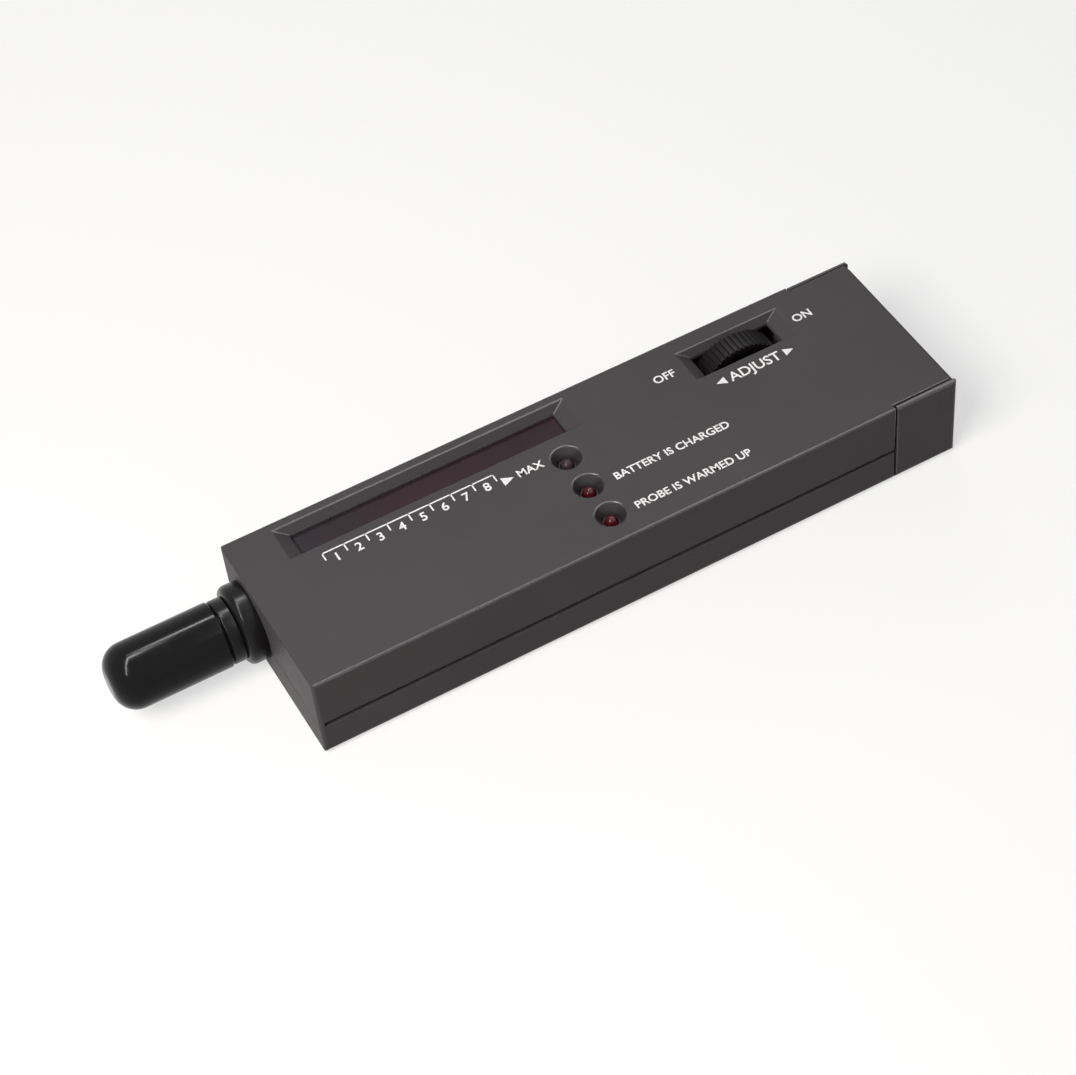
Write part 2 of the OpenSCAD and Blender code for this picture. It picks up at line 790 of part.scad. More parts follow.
module probe_nose() {
    color("#1c1b1c") on_probe() rotate_extrude() polygon(concat(
        [[chamber_r, -barrel_in], [barrel_r - run, -barrel_in], [barrel_r - run, collar_l]],
        arc([seat_r - seat_edge, collar_l + seat_edge], seat_edge, -90, 0, 3),
        arc([seat_r - seat_edge, seat_d - seat_edge], seat_edge, 0, 90, 3),
        [[spigot_r, seat_d], [spigot_r, spigot_d], [cone_base_r, spigot_d + cone_step], [cone_r, cone_d],
            [guide_r, cone_d], [guide_r, chamber_d], [chamber_r, chamber_d]]
    ));
}

module probe_tip() {
    color("#b87347") on_probe() rotate_extrude() polygon([
        [stem_bore, stem_d], [stem_r, stem_d], [stem_r, tip_head_d], [tip_head_r, tip_head_d],
        [tip_head_r, tip_head_d + tip_head_t], [pin_r, tip_head_d + tip_head_t], [pin_r, pin_d - pin_nose],
        [pin_r * 0.8, pin_d - pin_nose * 0.4], [pin_r * 0.4, pin_d], [0, pin_d],
        [0, bore_d], [stem_bore, bore_d]
    ]);
}

module thermistor() {
    color("#7a2c20") on_probe() union() {
        translate([0, 0, bead_d]) sphere(r = bead_r);
        for (s = [-1, 1]) post([s * bead_wire_y, 0], stem_d, bead_d, bead_wire_r);
    }
}

module probe_spring() {
    low = plug_d + spring_wire + spring_air;
    rise = tip_head_d - spring_wire - spring_air - low;
    steps = spring_turns * spring_steps;
    color("#9a9c9e") on_probe() wire([for (i = [0 : steps]) let (a = 360 * i / spring_steps)
        [spring_r * cos(a), spring_r * sin(a), low + rise * i / steps]], spring_wire, 6);
}

module probe_plug() {
    color("#cfc8b8") on_probe() ring(stem_r + stem_gap, plug_r, -barrel_in, plug_d);
}

module probe_leads() {
    color("#d8d2c6") for (s = [-1, 1]) wire(curve(
        [-end_x + barrel_in, probe_y + s * probe_lead_y, probe_z], [4, 0, 0],
        [board_x0 + lead_foot, probe_y - probe_lead_drop + s * probe_lead_y, board_z1],
        [0, 0, -2.5]), lead_r);
}

module probe_cap() {
    color("#111112") on_probe() rotate_extrude() polygon(concat(
        [[cap_bore, cap_d]],
        arc([cap_r - cap_rim, cap_d + cap_rim], cap_rim, -90, 0, 3),
        arc([cap_r - cap_end_r, cap_end_d - cap_end_r], cap_end_r, 0, 90, 10),
        [[0, cap_end_d], [0, cap_hollow_d]],
        arc([cap_bore - cap_hollow_r, cap_hollow_d - cap_hollow_r], cap_hollow_r, 90, 0, 8)
    ));
}

// The bars let into the faces of the two displays
module bar_marks() {
    pitch = bar_l / bar_count;
    for (m = [0, 1], i = [0 : bar_count - 1])
        translate([bar_x + m * bar_l + (i + 0.5) * pitch, window_y, bar_top - bar_mark_t / 2])
            cube([pitch * bar_mark_share, bar_mark_l, bar_mark_t], center = true);
}

module level_bars() {
    color("#2a2a2c") difference() {
        for (m = [0, 1]) translate([bar_x + m * bar_l, window_y, 0])
            slab(fit / 2, bar_l - fit / 2, -bar_w / 2, bar_w / 2, board_z1, bar_top);
        bar_marks();
    }
}

module level_segments() {
    color("#7d1f1c") bar_marks();
}

// A round lamp standing on its flange
module lamp(i) {
    translate([lamp_x, lamp_y[i], lamp_z]) rotate_extrude() polygon(concat(
        [[0, 0], [flange_r, 0], [flange_r, flange_h], [lamp_r, flange_h]],
        arc([0, lamp_h - lamp_r], lamp_r, 0, 90)
    ));
}

module lamp_ready() {
    color("#a01818") lamp(0);
}

module lamp_battery() {
    color("#a01818") lamp(1);
}

module lamp_result() {
    color("#5b4a55") lamp(2);
}

module lamp_legs() {
    color("#a9abad") for (y = lamp_y, s = [-1, 1])
        translate([lamp_x + s * leg_pitch / 2, y, 0])
            slab(-leg_w / 2, leg_w / 2, -leg_w / 2, leg_w / 2, board_z1, lamp_z);
}

module main_board() {
    color("#2f6b3c") difference() {
        slab(board_x0, board_x1, -board_y, board_y, board_z0, board_z1);
        for (p = board_screw_at) post(p, 0, far, board_screw_r + screw_gap);
    }
}

module chip(x, y, l) {
    slab(x, x + l, y - chip_w / 2, y + chip_w / 2, board_z1 + chip_up, board_z1 + chip_up + chip_h);
}

module legs(x, y, l, count) {
    for (i = [0 : count - 1], s = [-1, 1])
        translate([x + l / 2 + (i - (count - 1) / 2) * leg_pitch - chip_leg_w / 2,
            y + s * (chip_w + chip_leg_t) / 2 - chip_leg_t / 2, board_z1])
            cube([chip_leg_w, chip_leg_t, chip_up + chip_h / 2]);
}

module driver_chips() {
    color("#1d1d1f") for (y = [chip_y0, chip_y1]) chip(driver_x, y, driver_l);
}

module amplifier_chip() {
    color("#1d1d1f") chip(amplifier_x, chip_y1, amplifier_l);
}

module chip_legs() {
    color("#b4b6b8") {
        for (y = [chip_y0, chip_y1]) legs(driver_x, y, driver_l, driver_legs);
        legs(amplifier_x, chip_y1, amplifier_l, amplifier_legs);
    }
}

module capacitors() {
    color("#27303f") for (i = [0, 1])
        post([amplifier_x + can_r + i * can_pitch, chip_y0], board_z1, board_z1 + can_h, can_r);
}

module resistors() {
    color("#c9a877") for (i = [0 : resistor_count - 1])
        translate([driver_x + i * resistor_pitch, resistor_y, board_z1 + resistor_r])
            rotate([90, 0, 0]) cylinder(h = resistor_l, r = resistor_r, center = true);
}

module trimmer() {
    color("#2b5fa8") difference() {
        slab(trimmer_x, trimmer_x + trimmer_w, -trimmer_w / 2, trimmer_w / 2, board_z1, board_z1 + trimmer_h);
        translate([trimmer_x + trimmer_w / 2, 0, board_z1 + trimmer_h]) cube(trimmer_slot, center = true);
    }
}

module buzzer_case() {
    color("#1a1a1b") translate([buzzer_x, 0, buzzer_z]) difference() {
        cylinder(h = buzzer_h, r = buzzer_r);
        post([0, 0], buzzer_wall, buzzer_h - buzzer_wall, buzzer_r - 2 * buzzer_wall);
        post([0, 0], buzzer_wall + buzzer_step, buzzer_h - buzzer_wall, buzzer_r - buzzer_wall);
        post([0, 0], -over, buzzer_wall + over, buzzer_hole_r);
    }
}

module buzzer_disc() {
    color("#c09a4a") translate([buzzer_x, 0, buzzer_z + buzzer_wall + buzzer_step])
        cylinder(h = disc_t, r = buzzer_r - buzzer_wall - run);
}

module buzzer_leads() {
    color("#b8332a") for (s = [-1, 1]) wire(curve(
        [buzzer_x + buzzer_r + fit / 2, s * buzzer_lead_y, buzzer_z + buzzer_h - buzzer_wall - lead_r / 2],
        [4, 0, 0], [buzzer_x + buzzer_r + buzzer_lead_l, 2 * s * buzzer_lead_y, board_z0],
        [0, 0, 2]), lead_r);
}

module panel_lead() {
    color("#d0c33a") wire(curve([tab_x, -tab_y, tab_top], [0, 0, 2],
        [tab_x + panel_lead_l, -tab_y + panel_lead_l, board_z0], [0, 0, 2]), lead_r);
}

module volume_wheel() {
    pitch = 360 / wheel_ribs;
    outline = [for (i = [0 : wheel_ribs - 1], p = [[0, 1], [0.45, 1], [0.6, 0], [0.85, 0]])
        (wheel_r - (1 - p[1]) * rib_d) * [cos((i + p[0]) * pitch), sin((i + p[0]) * pitch)]];
    color("#232224") on_wheel() difference() {
        translate([0, 0, wheel_near]) linear_extrude(wheel_w) polygon(outline);
        for (z = [wheel_near - over, wheel_y + web_t / 2]) difference() {
            translate([0, 0, z]) cylinder(h = wheel_w / 2 - web_t / 2 + over, r = rim_in_r);
            translate([0, 0, z - over]) cylinder(h = wheel_w + 4 * over, r = hub_r);
        }
        translate([0, 0, wheel_near + hub_floor]) cylinder(h = wheel_w, r = shaft_r + run);
        translate([0, 0, wheel_near - over]) cylinder(h = wheel_w, r = wheel_screw_r + 2 * run);
    }
}

module wheel_screw() {
    color("#8d8f91") on_wheel() translate([0, 0, wheel_near]) union() {
        translate([0, 0, -wheel_head_h]) cylinder(h = wheel_head_h, r = wheel_head_r);
        translate([0, 0, -wheel_head_h]) cylinder(h = wheel_head_h + wheel_screw_l, r = wheel_screw_r);
    }
}

module control_shaft() {
    color("#a9abad") on_wheel() difference() {
        post([0, 0], shaft_near, control_board_y0 - fit, shaft_r);
        post([0, 0], shaft_near - over, shaft_near + wheel_screw_l, wheel_screw_r + run);
    }
}

module control_body() {
    color("#5d4632") on_wheel() ring(shaft_r + run, control_r, control_y0, control_board_y0);
}

module control_board() {
    color("#b08a4a")
        slab(control_x0, control_x1, control_board_y0, control_board_y1, control_board_z0, control_board_z1);
}

module control_leads() {
    color("#6f7478") for (i = [0 : control_lead_count - 1]) wire(curve(
        [control_x0, (control_board_y0 + control_board_y1) / 2,
            board_z1 + control_lead_up + i * control_lead_pitch], [-8, 0, 0],
        [board_x1 - lead_foot, in_y - control_lead_y + i * control_lead_pitch, board_z1],
        [0, 0, -6], 12), lead_r);
}

module battery_case() {
    color("#3b3e44") along_x(battery_x0, battery_x1) translate([battery_y, battery_z]) polygon(soft_rect(
        -battery_w / 2, battery_w / 2, -battery_h / 2, battery_h / 2, battery_edge, battery_edge));
}

// Puts a turned shape on a stud's axis, with its height measured from the battery's end
module on_stud(s) {
    translate([battery_x0, battery_y + s * stud_pitch / 2, battery_z]) rotate([0, -90, 0]) children();
}

module battery_studs() {
    color("#bfc1c3") {
        on_stud(-1) cylinder(h = stud_h, r = stud_r);
        on_stud(1) ring(stud_r + run, socket_r, 0, stud_h);
    }
}

module battery_snap() {
    color("#161617") slab(contact_x - snap_t, contact_x, battery_y - snap_l / 2, battery_y + snap_l / 2,
        battery_z - snap_w / 2, battery_z + snap_w / 2);
}

module snap_contacts() {
    color("#bfc1c3") {
        on_stud(-1) ring(stud_r + run, socket_r, fit, stud_h);
        on_stud(1) translate([0, 0, fit]) cylinder(h = stud_h - fit, r = stud_r);
    }
}

// A battery lead from the snap's back, through the bulkhead's notch, to the board
module battery_lead(y) {
    wire(curve([contact_x - snap_t, y, battery_z], [-5, 0, 0],
        [board_x1 - lead_foot, y, board_z1], [0, 0, -4], 12), lead_r);
}

module battery_lead_plus() {
    color("#b02020") battery_lead(plus_y);
}

module battery_lead_minus() {
    color("#1b1b1c") battery_lead(minus_y);
}

upper_shell();
lower_shell();
battery_door();
meter_window();
conductive_panel();
case_screws();
probe_collar();
probe_nose();
probe_tip();
thermistor();
probe_spring();
probe_plug();
probe_leads();
probe_cap();
level_bars();
level_segments();
lamp_result();
lamp_battery();
lamp_ready();
lamp_legs();
main_board();
board_screws();
driver_chips();
amplifier_chip();
chip_legs();
capacitors();
resistors();
trimmer();
buzzer_case();
buzzer_disc();
buzzer_leads();
panel_lead();
volume_wheel();
wheel_screw();
control_shaft();
control_body();
control_board();
control_leads();
battery_case();
battery_studs();
battery_snap();
snap_contacts();
battery_lead_plus();
battery_lead_minus();
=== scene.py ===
import json

import bmesh
import bpy
import numpy as np
from mathutils import Matrix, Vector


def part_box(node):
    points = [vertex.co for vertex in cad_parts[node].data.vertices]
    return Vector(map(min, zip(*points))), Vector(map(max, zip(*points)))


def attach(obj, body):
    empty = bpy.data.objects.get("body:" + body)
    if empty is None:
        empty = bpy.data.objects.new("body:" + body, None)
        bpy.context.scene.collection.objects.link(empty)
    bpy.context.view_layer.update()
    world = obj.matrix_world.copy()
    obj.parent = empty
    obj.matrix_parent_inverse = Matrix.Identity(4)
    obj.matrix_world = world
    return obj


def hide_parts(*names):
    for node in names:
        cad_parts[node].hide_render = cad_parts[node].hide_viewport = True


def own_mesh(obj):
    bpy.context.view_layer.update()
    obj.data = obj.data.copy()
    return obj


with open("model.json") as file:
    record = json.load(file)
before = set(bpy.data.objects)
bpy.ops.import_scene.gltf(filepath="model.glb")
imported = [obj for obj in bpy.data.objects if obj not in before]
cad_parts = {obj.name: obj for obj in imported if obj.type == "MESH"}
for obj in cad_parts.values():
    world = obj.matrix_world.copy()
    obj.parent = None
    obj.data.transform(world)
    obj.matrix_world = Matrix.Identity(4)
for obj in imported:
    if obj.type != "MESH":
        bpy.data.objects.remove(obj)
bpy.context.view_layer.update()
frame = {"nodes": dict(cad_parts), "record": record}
nodes = frame["nodes"]
mm = 0.001
print("frame:", len(nodes), "nodes")


def span(node):
    # lowest and highest corner of a node, as arrays in metres
    low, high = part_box(node)
    return np.array(low), np.array(high)


shellLow, shellHigh = span("upper_shell")
topZ = shellHigh[2]
sideY = shellHigh[1]
probeEndX = shellLow[0]


def linear(code):
    # sRGB hex to the linear colour that a shader socket takes
    c = np.array([int(code[i:i + 2], 16) for i in (1, 3, 5)]) / 255
    rgb = np.where(c <= 0.04045, c / 12.92, ((c + 0.055) / 1.055) ** 2.4)
    return (*rgb.tolist(), 1.0)


def addNode(tree, kind, inputs=None, stops=None, **settings):
    # one node: settings are its own properties, inputs hold a value, a node or a socket for each
    # named or numbered input, and stops are the places and colours of a ramp
    node = tree.nodes.new("ShaderNode" + kind)
    for key, value in settings.items():
        setattr(node, key, value)
    for key, value in (inputs or {}).items():
        if isinstance(value, bpy.types.Node):
            tree.links.new(value.outputs[0], node.inputs[key])
        elif isinstance(value, bpy.types.NodeSocket):
            tree.links.new(value, node.inputs[key])
        else:
            node.inputs[key].default_value = value
    for i, (place, code) in enumerate(stops or []):
        point = node.color_ramp.elements[i] if i < 2 else node.color_ramp.elements.new(place)
        point.position = place
        point.color = linear(code)
    return node


def startMaterial(name, sockets):
    # a material with one Principled shader whose fixed values sit on its own sockets
    material = bpy.data.materials.new(name)
    material.use_nodes = True
    tree = material.node_tree
    shader = tree.nodes["Principled BSDF"]
    for key, value in sockets.items():
        shader.inputs[key].default_value = value
    place = addNode(tree, "TexCoord").outputs["Object"]
    return material, tree, shader, place


noiseSpread = (0.3, 0.7)  # nearly all values of a noise lie between these
driftSpread = (0.35, 0.65)  # a little closer, so that a slow drift shows both of its shades
wholeRange = (0.0, 1.0)


def dressShader(tree, shader, colour, sheen, relief, look, spread):
    # the colour, a gloss that runs from smooth to rough over the spread of the sheen pattern, and dents
    # that follow the relief pattern
    gloss = addNode(tree, "MapRange", {"Value": sheen, "From Min": spread[0], "From Max": spread[1],
                                       "To Min": look["smooth"], "To Max": look["rough"]})
    dents = addNode(tree, "Bump", {"Height": relief, "Strength": 1.0, "Distance": look["dentMm"] * mm})
    tree.links.new(colour, shader.inputs["Base Color"])
    tree.links.new(gloss.outputs[0], shader.inputs["Roughness"])
    tree.links.new(dents.outputs[0], shader.inputs["Normal"])


def mouldedPlastic(name, look):
    # the melt's flow leaves a slow drift between two close shades, and the mould's skin leaves a fine
    # grain that breaks up the gloss and dents the surface
    material, tree, shader, place = startMaterial(name, look.get("sockets", {}))
    drift = addNode(tree, "TexNoise", {"Vector": place, "Scale": 1 / (look["driftMm"] * mm), "Detail": 3.0})
    grain = addNode(tree, "TexNoise", {"Vector": place, "Scale": 1 / (look["grainMm"] * mm), "Detail": 2.0})
    stops = [(driftSpread[0], look["deep"]), (driftSpread[1], look["shade"])]
    shade = addNode(tree, "ValToRGB", {"Fac": drift}, stops)
    dressShader(tree, shader, shade.outputs[0], grain, grain, look, noiseSpread)
    return material


def workedMetal(name, look):
    # marks of the last working are drawn out along one direction, or even all round where along names
    # none: streaks of gloss and shade, and a shallow scratch that follows them
    material, tree, shader, place = startMaterial(name, {"Metallic": 1.0})
    stretch = [1 / (look["streakMm" if drawn else "grainMm"] * mm) for drawn in look["along"]]
    drawn = addNode(tree, "Mapping", {"Vector": place, "Scale": stretch})
    streak = addNode(tree, "TexNoise", {"Vector": drawn, "Scale": 1.0, "Detail": 3.0})
    stops = [(noiseSpread[0], look["deep"]), (noiseSpread[1], look["shade"])]
    shade = addNode(tree, "ValToRGB", {"Fac": streak}, stops)
    dressShader(tree, shader, shade.outputs[0], streak, streak, look, noiseSpread)
    return material


def castResin(name, look):
    # clear tinted resin: light passes through, dye that settled unevenly shifts the tint a little, and
    # faint ripples of the mould soften its gloss; a long strip may turn greyer towards one end
    material, tree, shader, place = startMaterial(name, look["sockets"])
    cloud = addNode(tree, "TexNoise", {"Vector": place, "Scale": 1 / (look["cloudMm"] * mm), "Detail": 2.0})
    stops = [(noiseSpread[0], look["deep"]), (noiseSpread[1], look["shade"])]
    colour = addNode(tree, "ValToRGB", {"Fac": cloud}, stops).outputs[0]
    if "grey" in look:
        axes = addNode(tree, "SeparateXYZ", {"Vector": place})
        share = addNode(tree, "MapRange", {"Value": axes.outputs[0], "From Min": look["greyFromMm"] * mm,
                                           "From Max": look["greyToMm"] * mm})
        fade = addNode(tree, "Mix", {0: share, 6: linear(look["grey"]), 7: colour}, data_type="RGBA")
        colour = fade.outputs[2]
    dressShader(tree, shader, colour, cloud, cloud, look, noiseSpread)
    return material


# ABS moulded in a spark-eroded tool: warm dark grey with a dull, finely broken sheen. The real grain is
# about 0.1 mm; it is drawn at 0.4 mm so that it shows.
caseLook = {"shade": "#4d494a", "deep": "#4a4647", "driftMm": 28, "grainMm": 0.4, "smooth": 0.38,
            "rough": 0.52, "dentMm": 0.01, "sockets": {"Specular IOR Level": 0.06}}
# the same ABS where hands and cloth have rubbed the rolled edges: the grain is gone, so they shine;
# their lighter colour is a painted highlight
rubbedEdgeHighlightLook = {"shade": "#575354", "deep": "#4c4849", "driftMm": 9, "grainMm": 0.8, "smooth": 0.24,
            "rough": 0.34, "dentMm": 0.002, "sockets": {"Specular IOR Level": 0.36}}
# the same ABS in the lamp dishes: smooth from a polished tool, and darker as a painted shade, so that only
# the far wall catches light
dishShadeLook = {"shade": "#2c2829", "deep": "#282425", "driftMm": 4, "grainMm": 0.8, "smooth": 0.28,
            "rough": 0.38, "dentMm": 0.002, "sockets": {"Specular IOR Level": 0.5}}
# polystyrene from a polished tool: near black, a sharp gloss with the slight orange peel of a moulding
capLook = {"shade": "#131112", "deep": "#100e0f", "driftMm": 12, "grainMm": 2.4, "smooth": 0.13,
           "rough": 0.18, "dentMm": 0.003, "sockets": {"Specular IOR Level": 0.12}}
# nylon from a plain tool: near black and half gloss, so that edges catch a soft light
collarLook = {"shade": "#161415", "deep": "#121011", "driftMm": 9, "grainMm": 1.2, "smooth": 0.2,
              "rough": 0.28, "dentMm": 0.003, "sockets": {"Specular IOR Level": 0.15}}
# acetal wheel: black, matt from finger wear on its ribs
wheelLook = {"shade": "#171415", "deep": "#131011", "driftMm": 5, "grainMm": 0.35, "smooth": 0.38,
             "rough": 0.52, "dentMm": 0.008, "sockets": {"Specular IOR Level": 0.1}}
# cast acrylic strip, smoked with a red tint so that only lit bars show through
windowLook = {"shade": "#573f47", "deep": "#4f3840", "cloudMm": 18, "smooth": 0.05, "rough": 0.1,
              "dentMm": 0.003, "grey": "#4e484d", "greyFromMm": -62, "greyToMm": -40,
              "sockets": {"Transmission Weight": 0.6, "IOR": 1.3, "Specular IOR Level": 0.2}}
# epoxy cast in a polished mould: red dye, clear enough to glow inside
redLampLook = {"shade": "#7e0d18", "deep": "#4e080f", "cloudMm": 0.9, "smooth": 0.06, "rough": 0.12,
               "dentMm": 0.003,
               "sockets": {"Transmission Weight": 0.6, "IOR": 1.35, "Specular IOR Level": 0.1}}
# the same epoxy almost without dye and rubbed dull, grey from the dark dish round it
clearLampLook = {**redLampLook, "shade": "#544249", "deep": "#47373d", "smooth": 0.3, "rough": 0.4,
                 "sockets": {"Transmission Weight": 0.5, "IOR": 1.3, "Specular IOR Level": 0.1}}
# screen-printed white ink, dry and slightly uneven where it sank into the grain
inkLook = {"shade": "#fbfaf8", "deep": "#f0eeec", "driftMm": 2.5, "grainMm": 0.3, "smooth": 0.5,
           "rough": 0.65, "dentMm": 0.004}
# rolled aluminium with a satin grain along the case
panelLook = {"shade": "#c9c8c6", "deep": "#b4b3b1", "along": (1, 0, 0), "streakMm": 9, "grainMm": 0.25,
             "smooth": 0.28, "rough": 0.42, "dentMm": 0.002}
# zinc-plated steel, turned and tumbled: cool grey, evenly and softly bright
steelLook = {"shade": "#a9abad", "deep": "#8c8e90", "along": (0, 0, 0), "grainMm": 0.4,
             "smooth": 0.25, "rough": 0.4, "dentMm": 0.003}
# drawn copper, slightly tarnished: warm brown with fine lines along it
copperLook = {"shade": "#c58a5e", "deep": "#a56a45", "along": (1, 0, 0), "streakMm": 3, "grainMm": 0.2,
              "smooth": 0.2, "rough": 0.34, "dentMm": 0.002}
# rolled brass disc: yellow with faint lines one way
brassLook = {"shade": "#c7a75c", "deep": "#a98a46", "along": (1, 0, 0), "streakMm": 6, "grainMm": 0.25,
             "smooth": 0.25, "rough": 0.4, "dentMm": 0.002}
# tin-plated legs and contacts, dipped: pale and softly bright
tinLook = {"shade": "#c4c5c7", "deep": "#a7a8aa", "along": (0, 0, 0), "grainMm": 0.5,
           "smooth": 0.2, "rough": 0.34, "dentMm": 0.003}
# transfer-moulded epoxy of chips, the buzzer and the display housing: dead black with a fine grain
epoxyLook = {"shade": "#1b1a1b", "deep": "#151415", "driftMm": 4, "grainMm": 0.25, "smooth": 0.5,
             "rough": 0.65, "dentMm": 0.006}
# unlit display bars: dull red resin poured into the housing
barLook = {"shade": "#7c2420", "deep": "#6a1c1a", "driftMm": 2, "grainMm": 0.3, "smooth": 0.25,
           "rough": 0.4, "dentMm": 0.003}
# injection-moulded trimmer body, bright blue
trimmerLook = {"shade": "#2a5fa5", "deep": "#234f8c", "driftMm": 3, "grainMm": 0.3, "smooth": 0.3,
               "rough": 0.42, "dentMm": 0.004}
# pressed phenolic: brown, speckled by its filler
phenolicLook = {"shade": "#3c2f22", "deep": "#2f241a", "driftMm": 0.8, "grainMm": 0.3, "smooth": 0.42,
                "rough": 0.58, "dentMm": 0.005}
tanPhenolicLook = {**phenolicLook, "shade": "#4d3c24", "deep": "#43341f"}
# nylon plug, natural cream
plugLook = {"shade": "#d3ccbc", "deep": "#c6beab", "driftMm": 3, "grainMm": 0.3, "smooth": 0.36,
            "rough": 0.5, "dentMm": 0.004}
# glass bead sealed over the sensor, amber
beadLook = {"shade": "#8f3c24", "deep": "#7a2e1c", "cloudMm": 0.4, "smooth": 0.05, "rough": 0.1,
            "dentMm": 0.001, "sockets": {"Transmission Weight": 0.5, "IOR": 1.5}}
# extruded PVC insulation: soft sheen with the faint drag marks of the die
redLeadLook = {"shade": "#a8201c", "deep": "#921a18", "driftMm": 3, "grainMm": 0.3, "smooth": 0.34,
               "rough": 0.46, "dentMm": 0.004}
blackLeadLook = {**redLeadLook, "shade": "#1a191a", "deep": "#141314"}
greyLeadLook = {**redLeadLook, "shade": "#77787a", "deep": "#68696b"}
# dipped vinyl of the battery snap: black with a soft, even sheen
vinylLook = {**redLeadLook, "shade": "#171617", "deep": "#121112", "smooth": 0.38, "rough": 0.52}

# finishes by the record's slot names
materials = {
    "case_plastic": mouldedPlastic("caseAbsSparkMoulded", caseLook),
    "black_plastic": mouldedPlastic("collarNylonMoulded", collarLook),
    "wheel_plastic": mouldedPlastic("wheelAcetalMoulded", wheelLook),
    "smoked_window": castResin("windowAcrylicSmoked", windowLook),
    "lamp_red": castResin("lampEpoxyRed", redLampLook),
    "lamp_clear": castResin("lampEpoxyClear", clearLampLook),
    "panel_metal": workedMetal("panelAluminiumSatin", panelLook),
    "steel": workedMetal("steelZincPlated", steelLook),
    "copper": workedMetal("tipCopperDrawn", copperLook),
    "brass": workedMetal("discBrassRolled", brassLook),
    "tinned_metal": workedMetal("legsTinDipped", tinLook),
    "chip_black": mouldedPlastic("chipEpoxyMoulded", epoxyLook),
    "bar_housing": mouldedPlastic("displayHousingMoulded", epoxyLook),
    "bar_red": mouldedPlastic("barResinRed", barLook),
    "trimmer_blue": mouldedPlastic("trimmerNylonBlue", trimmerLook),
    "control_brown": mouldedPlastic("controlPhenolicPressed", phenolicLook),
    "board_tan": mouldedPlastic("controlBoardPhenolic", tanPhenolicLook),
    "plug_cream": mouldedPlastic("plugNylonNatural", plugLook),
    "bead_glass": castResin("beadGlassSealed", beadLook),
    "lead_red": mouldedPlastic("leadPvcRed", redLeadLook),
    "lead_black": mouldedPlastic("leadPvcBlack", blackLeadLook),
    "lead_grey": mouldedPlastic("leadPvcGrey", greyLeadLook),
    "snap_vinyl": mouldedPlastic("snapVinylDipped", vinylLook),
    "print_white": mouldedPlastic("inkWhiteScreenPrinted", inkLook),
}
capStyrene = mouldedPlastic("capStyrenePolished", capLook)
# finish of the rubbed edges: polished, and lighter as a painted highlight
rubbedEdgeHighlightAbs = mouldedPlastic("caseAbsRubbedEdgeHighlight", rubbedEdgeHighlightLook)
# finish of the lamp dishes: glossy, and darker as a painted shade
dishShadeAbs = mouldedPlastic("caseAbsPolishedDishShade", dishShadeLook)
print("materials:", len(bpy.data.materials))


def roundCorners(corners, radii, steps):
    # each corner becomes an arc: its centre lies on the corner's bisector at radius / sin(half angle), and
    # its points turn evenly from one tangent point to the other
    leastLength = 1e-9
    leastTurn = 1e-6
    p = np.asarray(corners, float)
    r = np.asarray(radii, float)[:, None]
    back = np.roll(p, 1, 0) - p
    ahead = np.roll(p, -1, 0) - p
    back /= np.linalg.norm(back, axis=1, keepdims=True)
    ahead /= np.linalg.norm(ahead, axis=1, keepdims=True)
    half = np.arccos(np.clip((back * ahead).sum(1), -1, 1))[:, None] / 2
    bisector = back + ahead
    bisector /= np.maximum(np.linalg.norm(bisector, axis=1, keepdims=True), leastLength)
    centre = p + bisector * r / np.sin(half)
    first = (p + back * r / np.tan(half) - centre)[:, None]
    last = (p + ahead * r / np.tan(half) - centre)[:, None]
    turn = np.maximum(np.pi - 2 * half, leastTurn)[:, None]
    t = np.linspace(0, 1, steps)[None, :, None]
    arc = (np.sin((1 - t) * turn) * first + np.sin(t * turn) * last) / np.sin(turn)
    return (centre[:, None] + arc).reshape(-1, 2)


def turned(outline, at, axis, side, steps):
    # surface of revolution: an outline point (r, d) goes to
    # at + d * axis + r * (cos a * side + sin a * up), where up is square to the axis and the side
    up = np.cross(axis, side)
    a = np.linspace(0, 2 * np.pi, steps, endpoint=False)[:, None, None]
    r = outline[None, :, :1]
    d = outline[None, :, 1:]
    return np.asarray(at) + d * np.array(axis) + r * (np.cos(a) * np.array(side) + np.sin(a) * up)


def softSlab(low, high, corner, edge, along, steps=7):
    # rounded rectangles stacked along one axis: a ring drawn in by s is corner centre +
    # (corner - s) * normal, and the pairs (s, height) of edge run from the first face's rim to the last's
    flat = [i for i in range(3) if i != along]
    half = (high - low)[flat] / 2
    a = np.linspace(0, np.pi / 2, steps)[None, :] + np.arange(4)[:, None] * np.pi / 2
    normal = np.stack([np.cos(a), np.sin(a)], -1).reshape(-1, 2)
    signs = np.repeat(np.array([(1, 1), (-1, 1), (-1, -1), (1, -1)]), steps, 0)
    middle = signs * (half - corner)
    s = np.asarray(edge)[:, 0][:, None, None]
    rings = middle + (corner - s) * normal
    ends = np.zeros_like(rings[:1])
    rings = np.concatenate([ends, rings, ends]) + (high + low)[flat] / 2
    heights = np.concatenate([edge[:1, 1], edge[:, 1], edge[-1:, 1]])
    points = np.empty((*rings.shape[:2], 3))
    points[..., flat] = rings
    points[..., along] = heights[:, None]
    return points


def closeSurface(mesh):
    # doubles at seams and poles merge, and faces turn outwards
    mergeWithin = 1e-7
    shape = bmesh.new()
    shape.from_mesh(mesh)
    bmesh.ops.remove_doubles(shape, verts=shape.verts, dist=mergeWithin)
    bmesh.ops.recalc_face_normals(shape, faces=shape.faces)
    shape.to_mesh(mesh)
    shape.free()


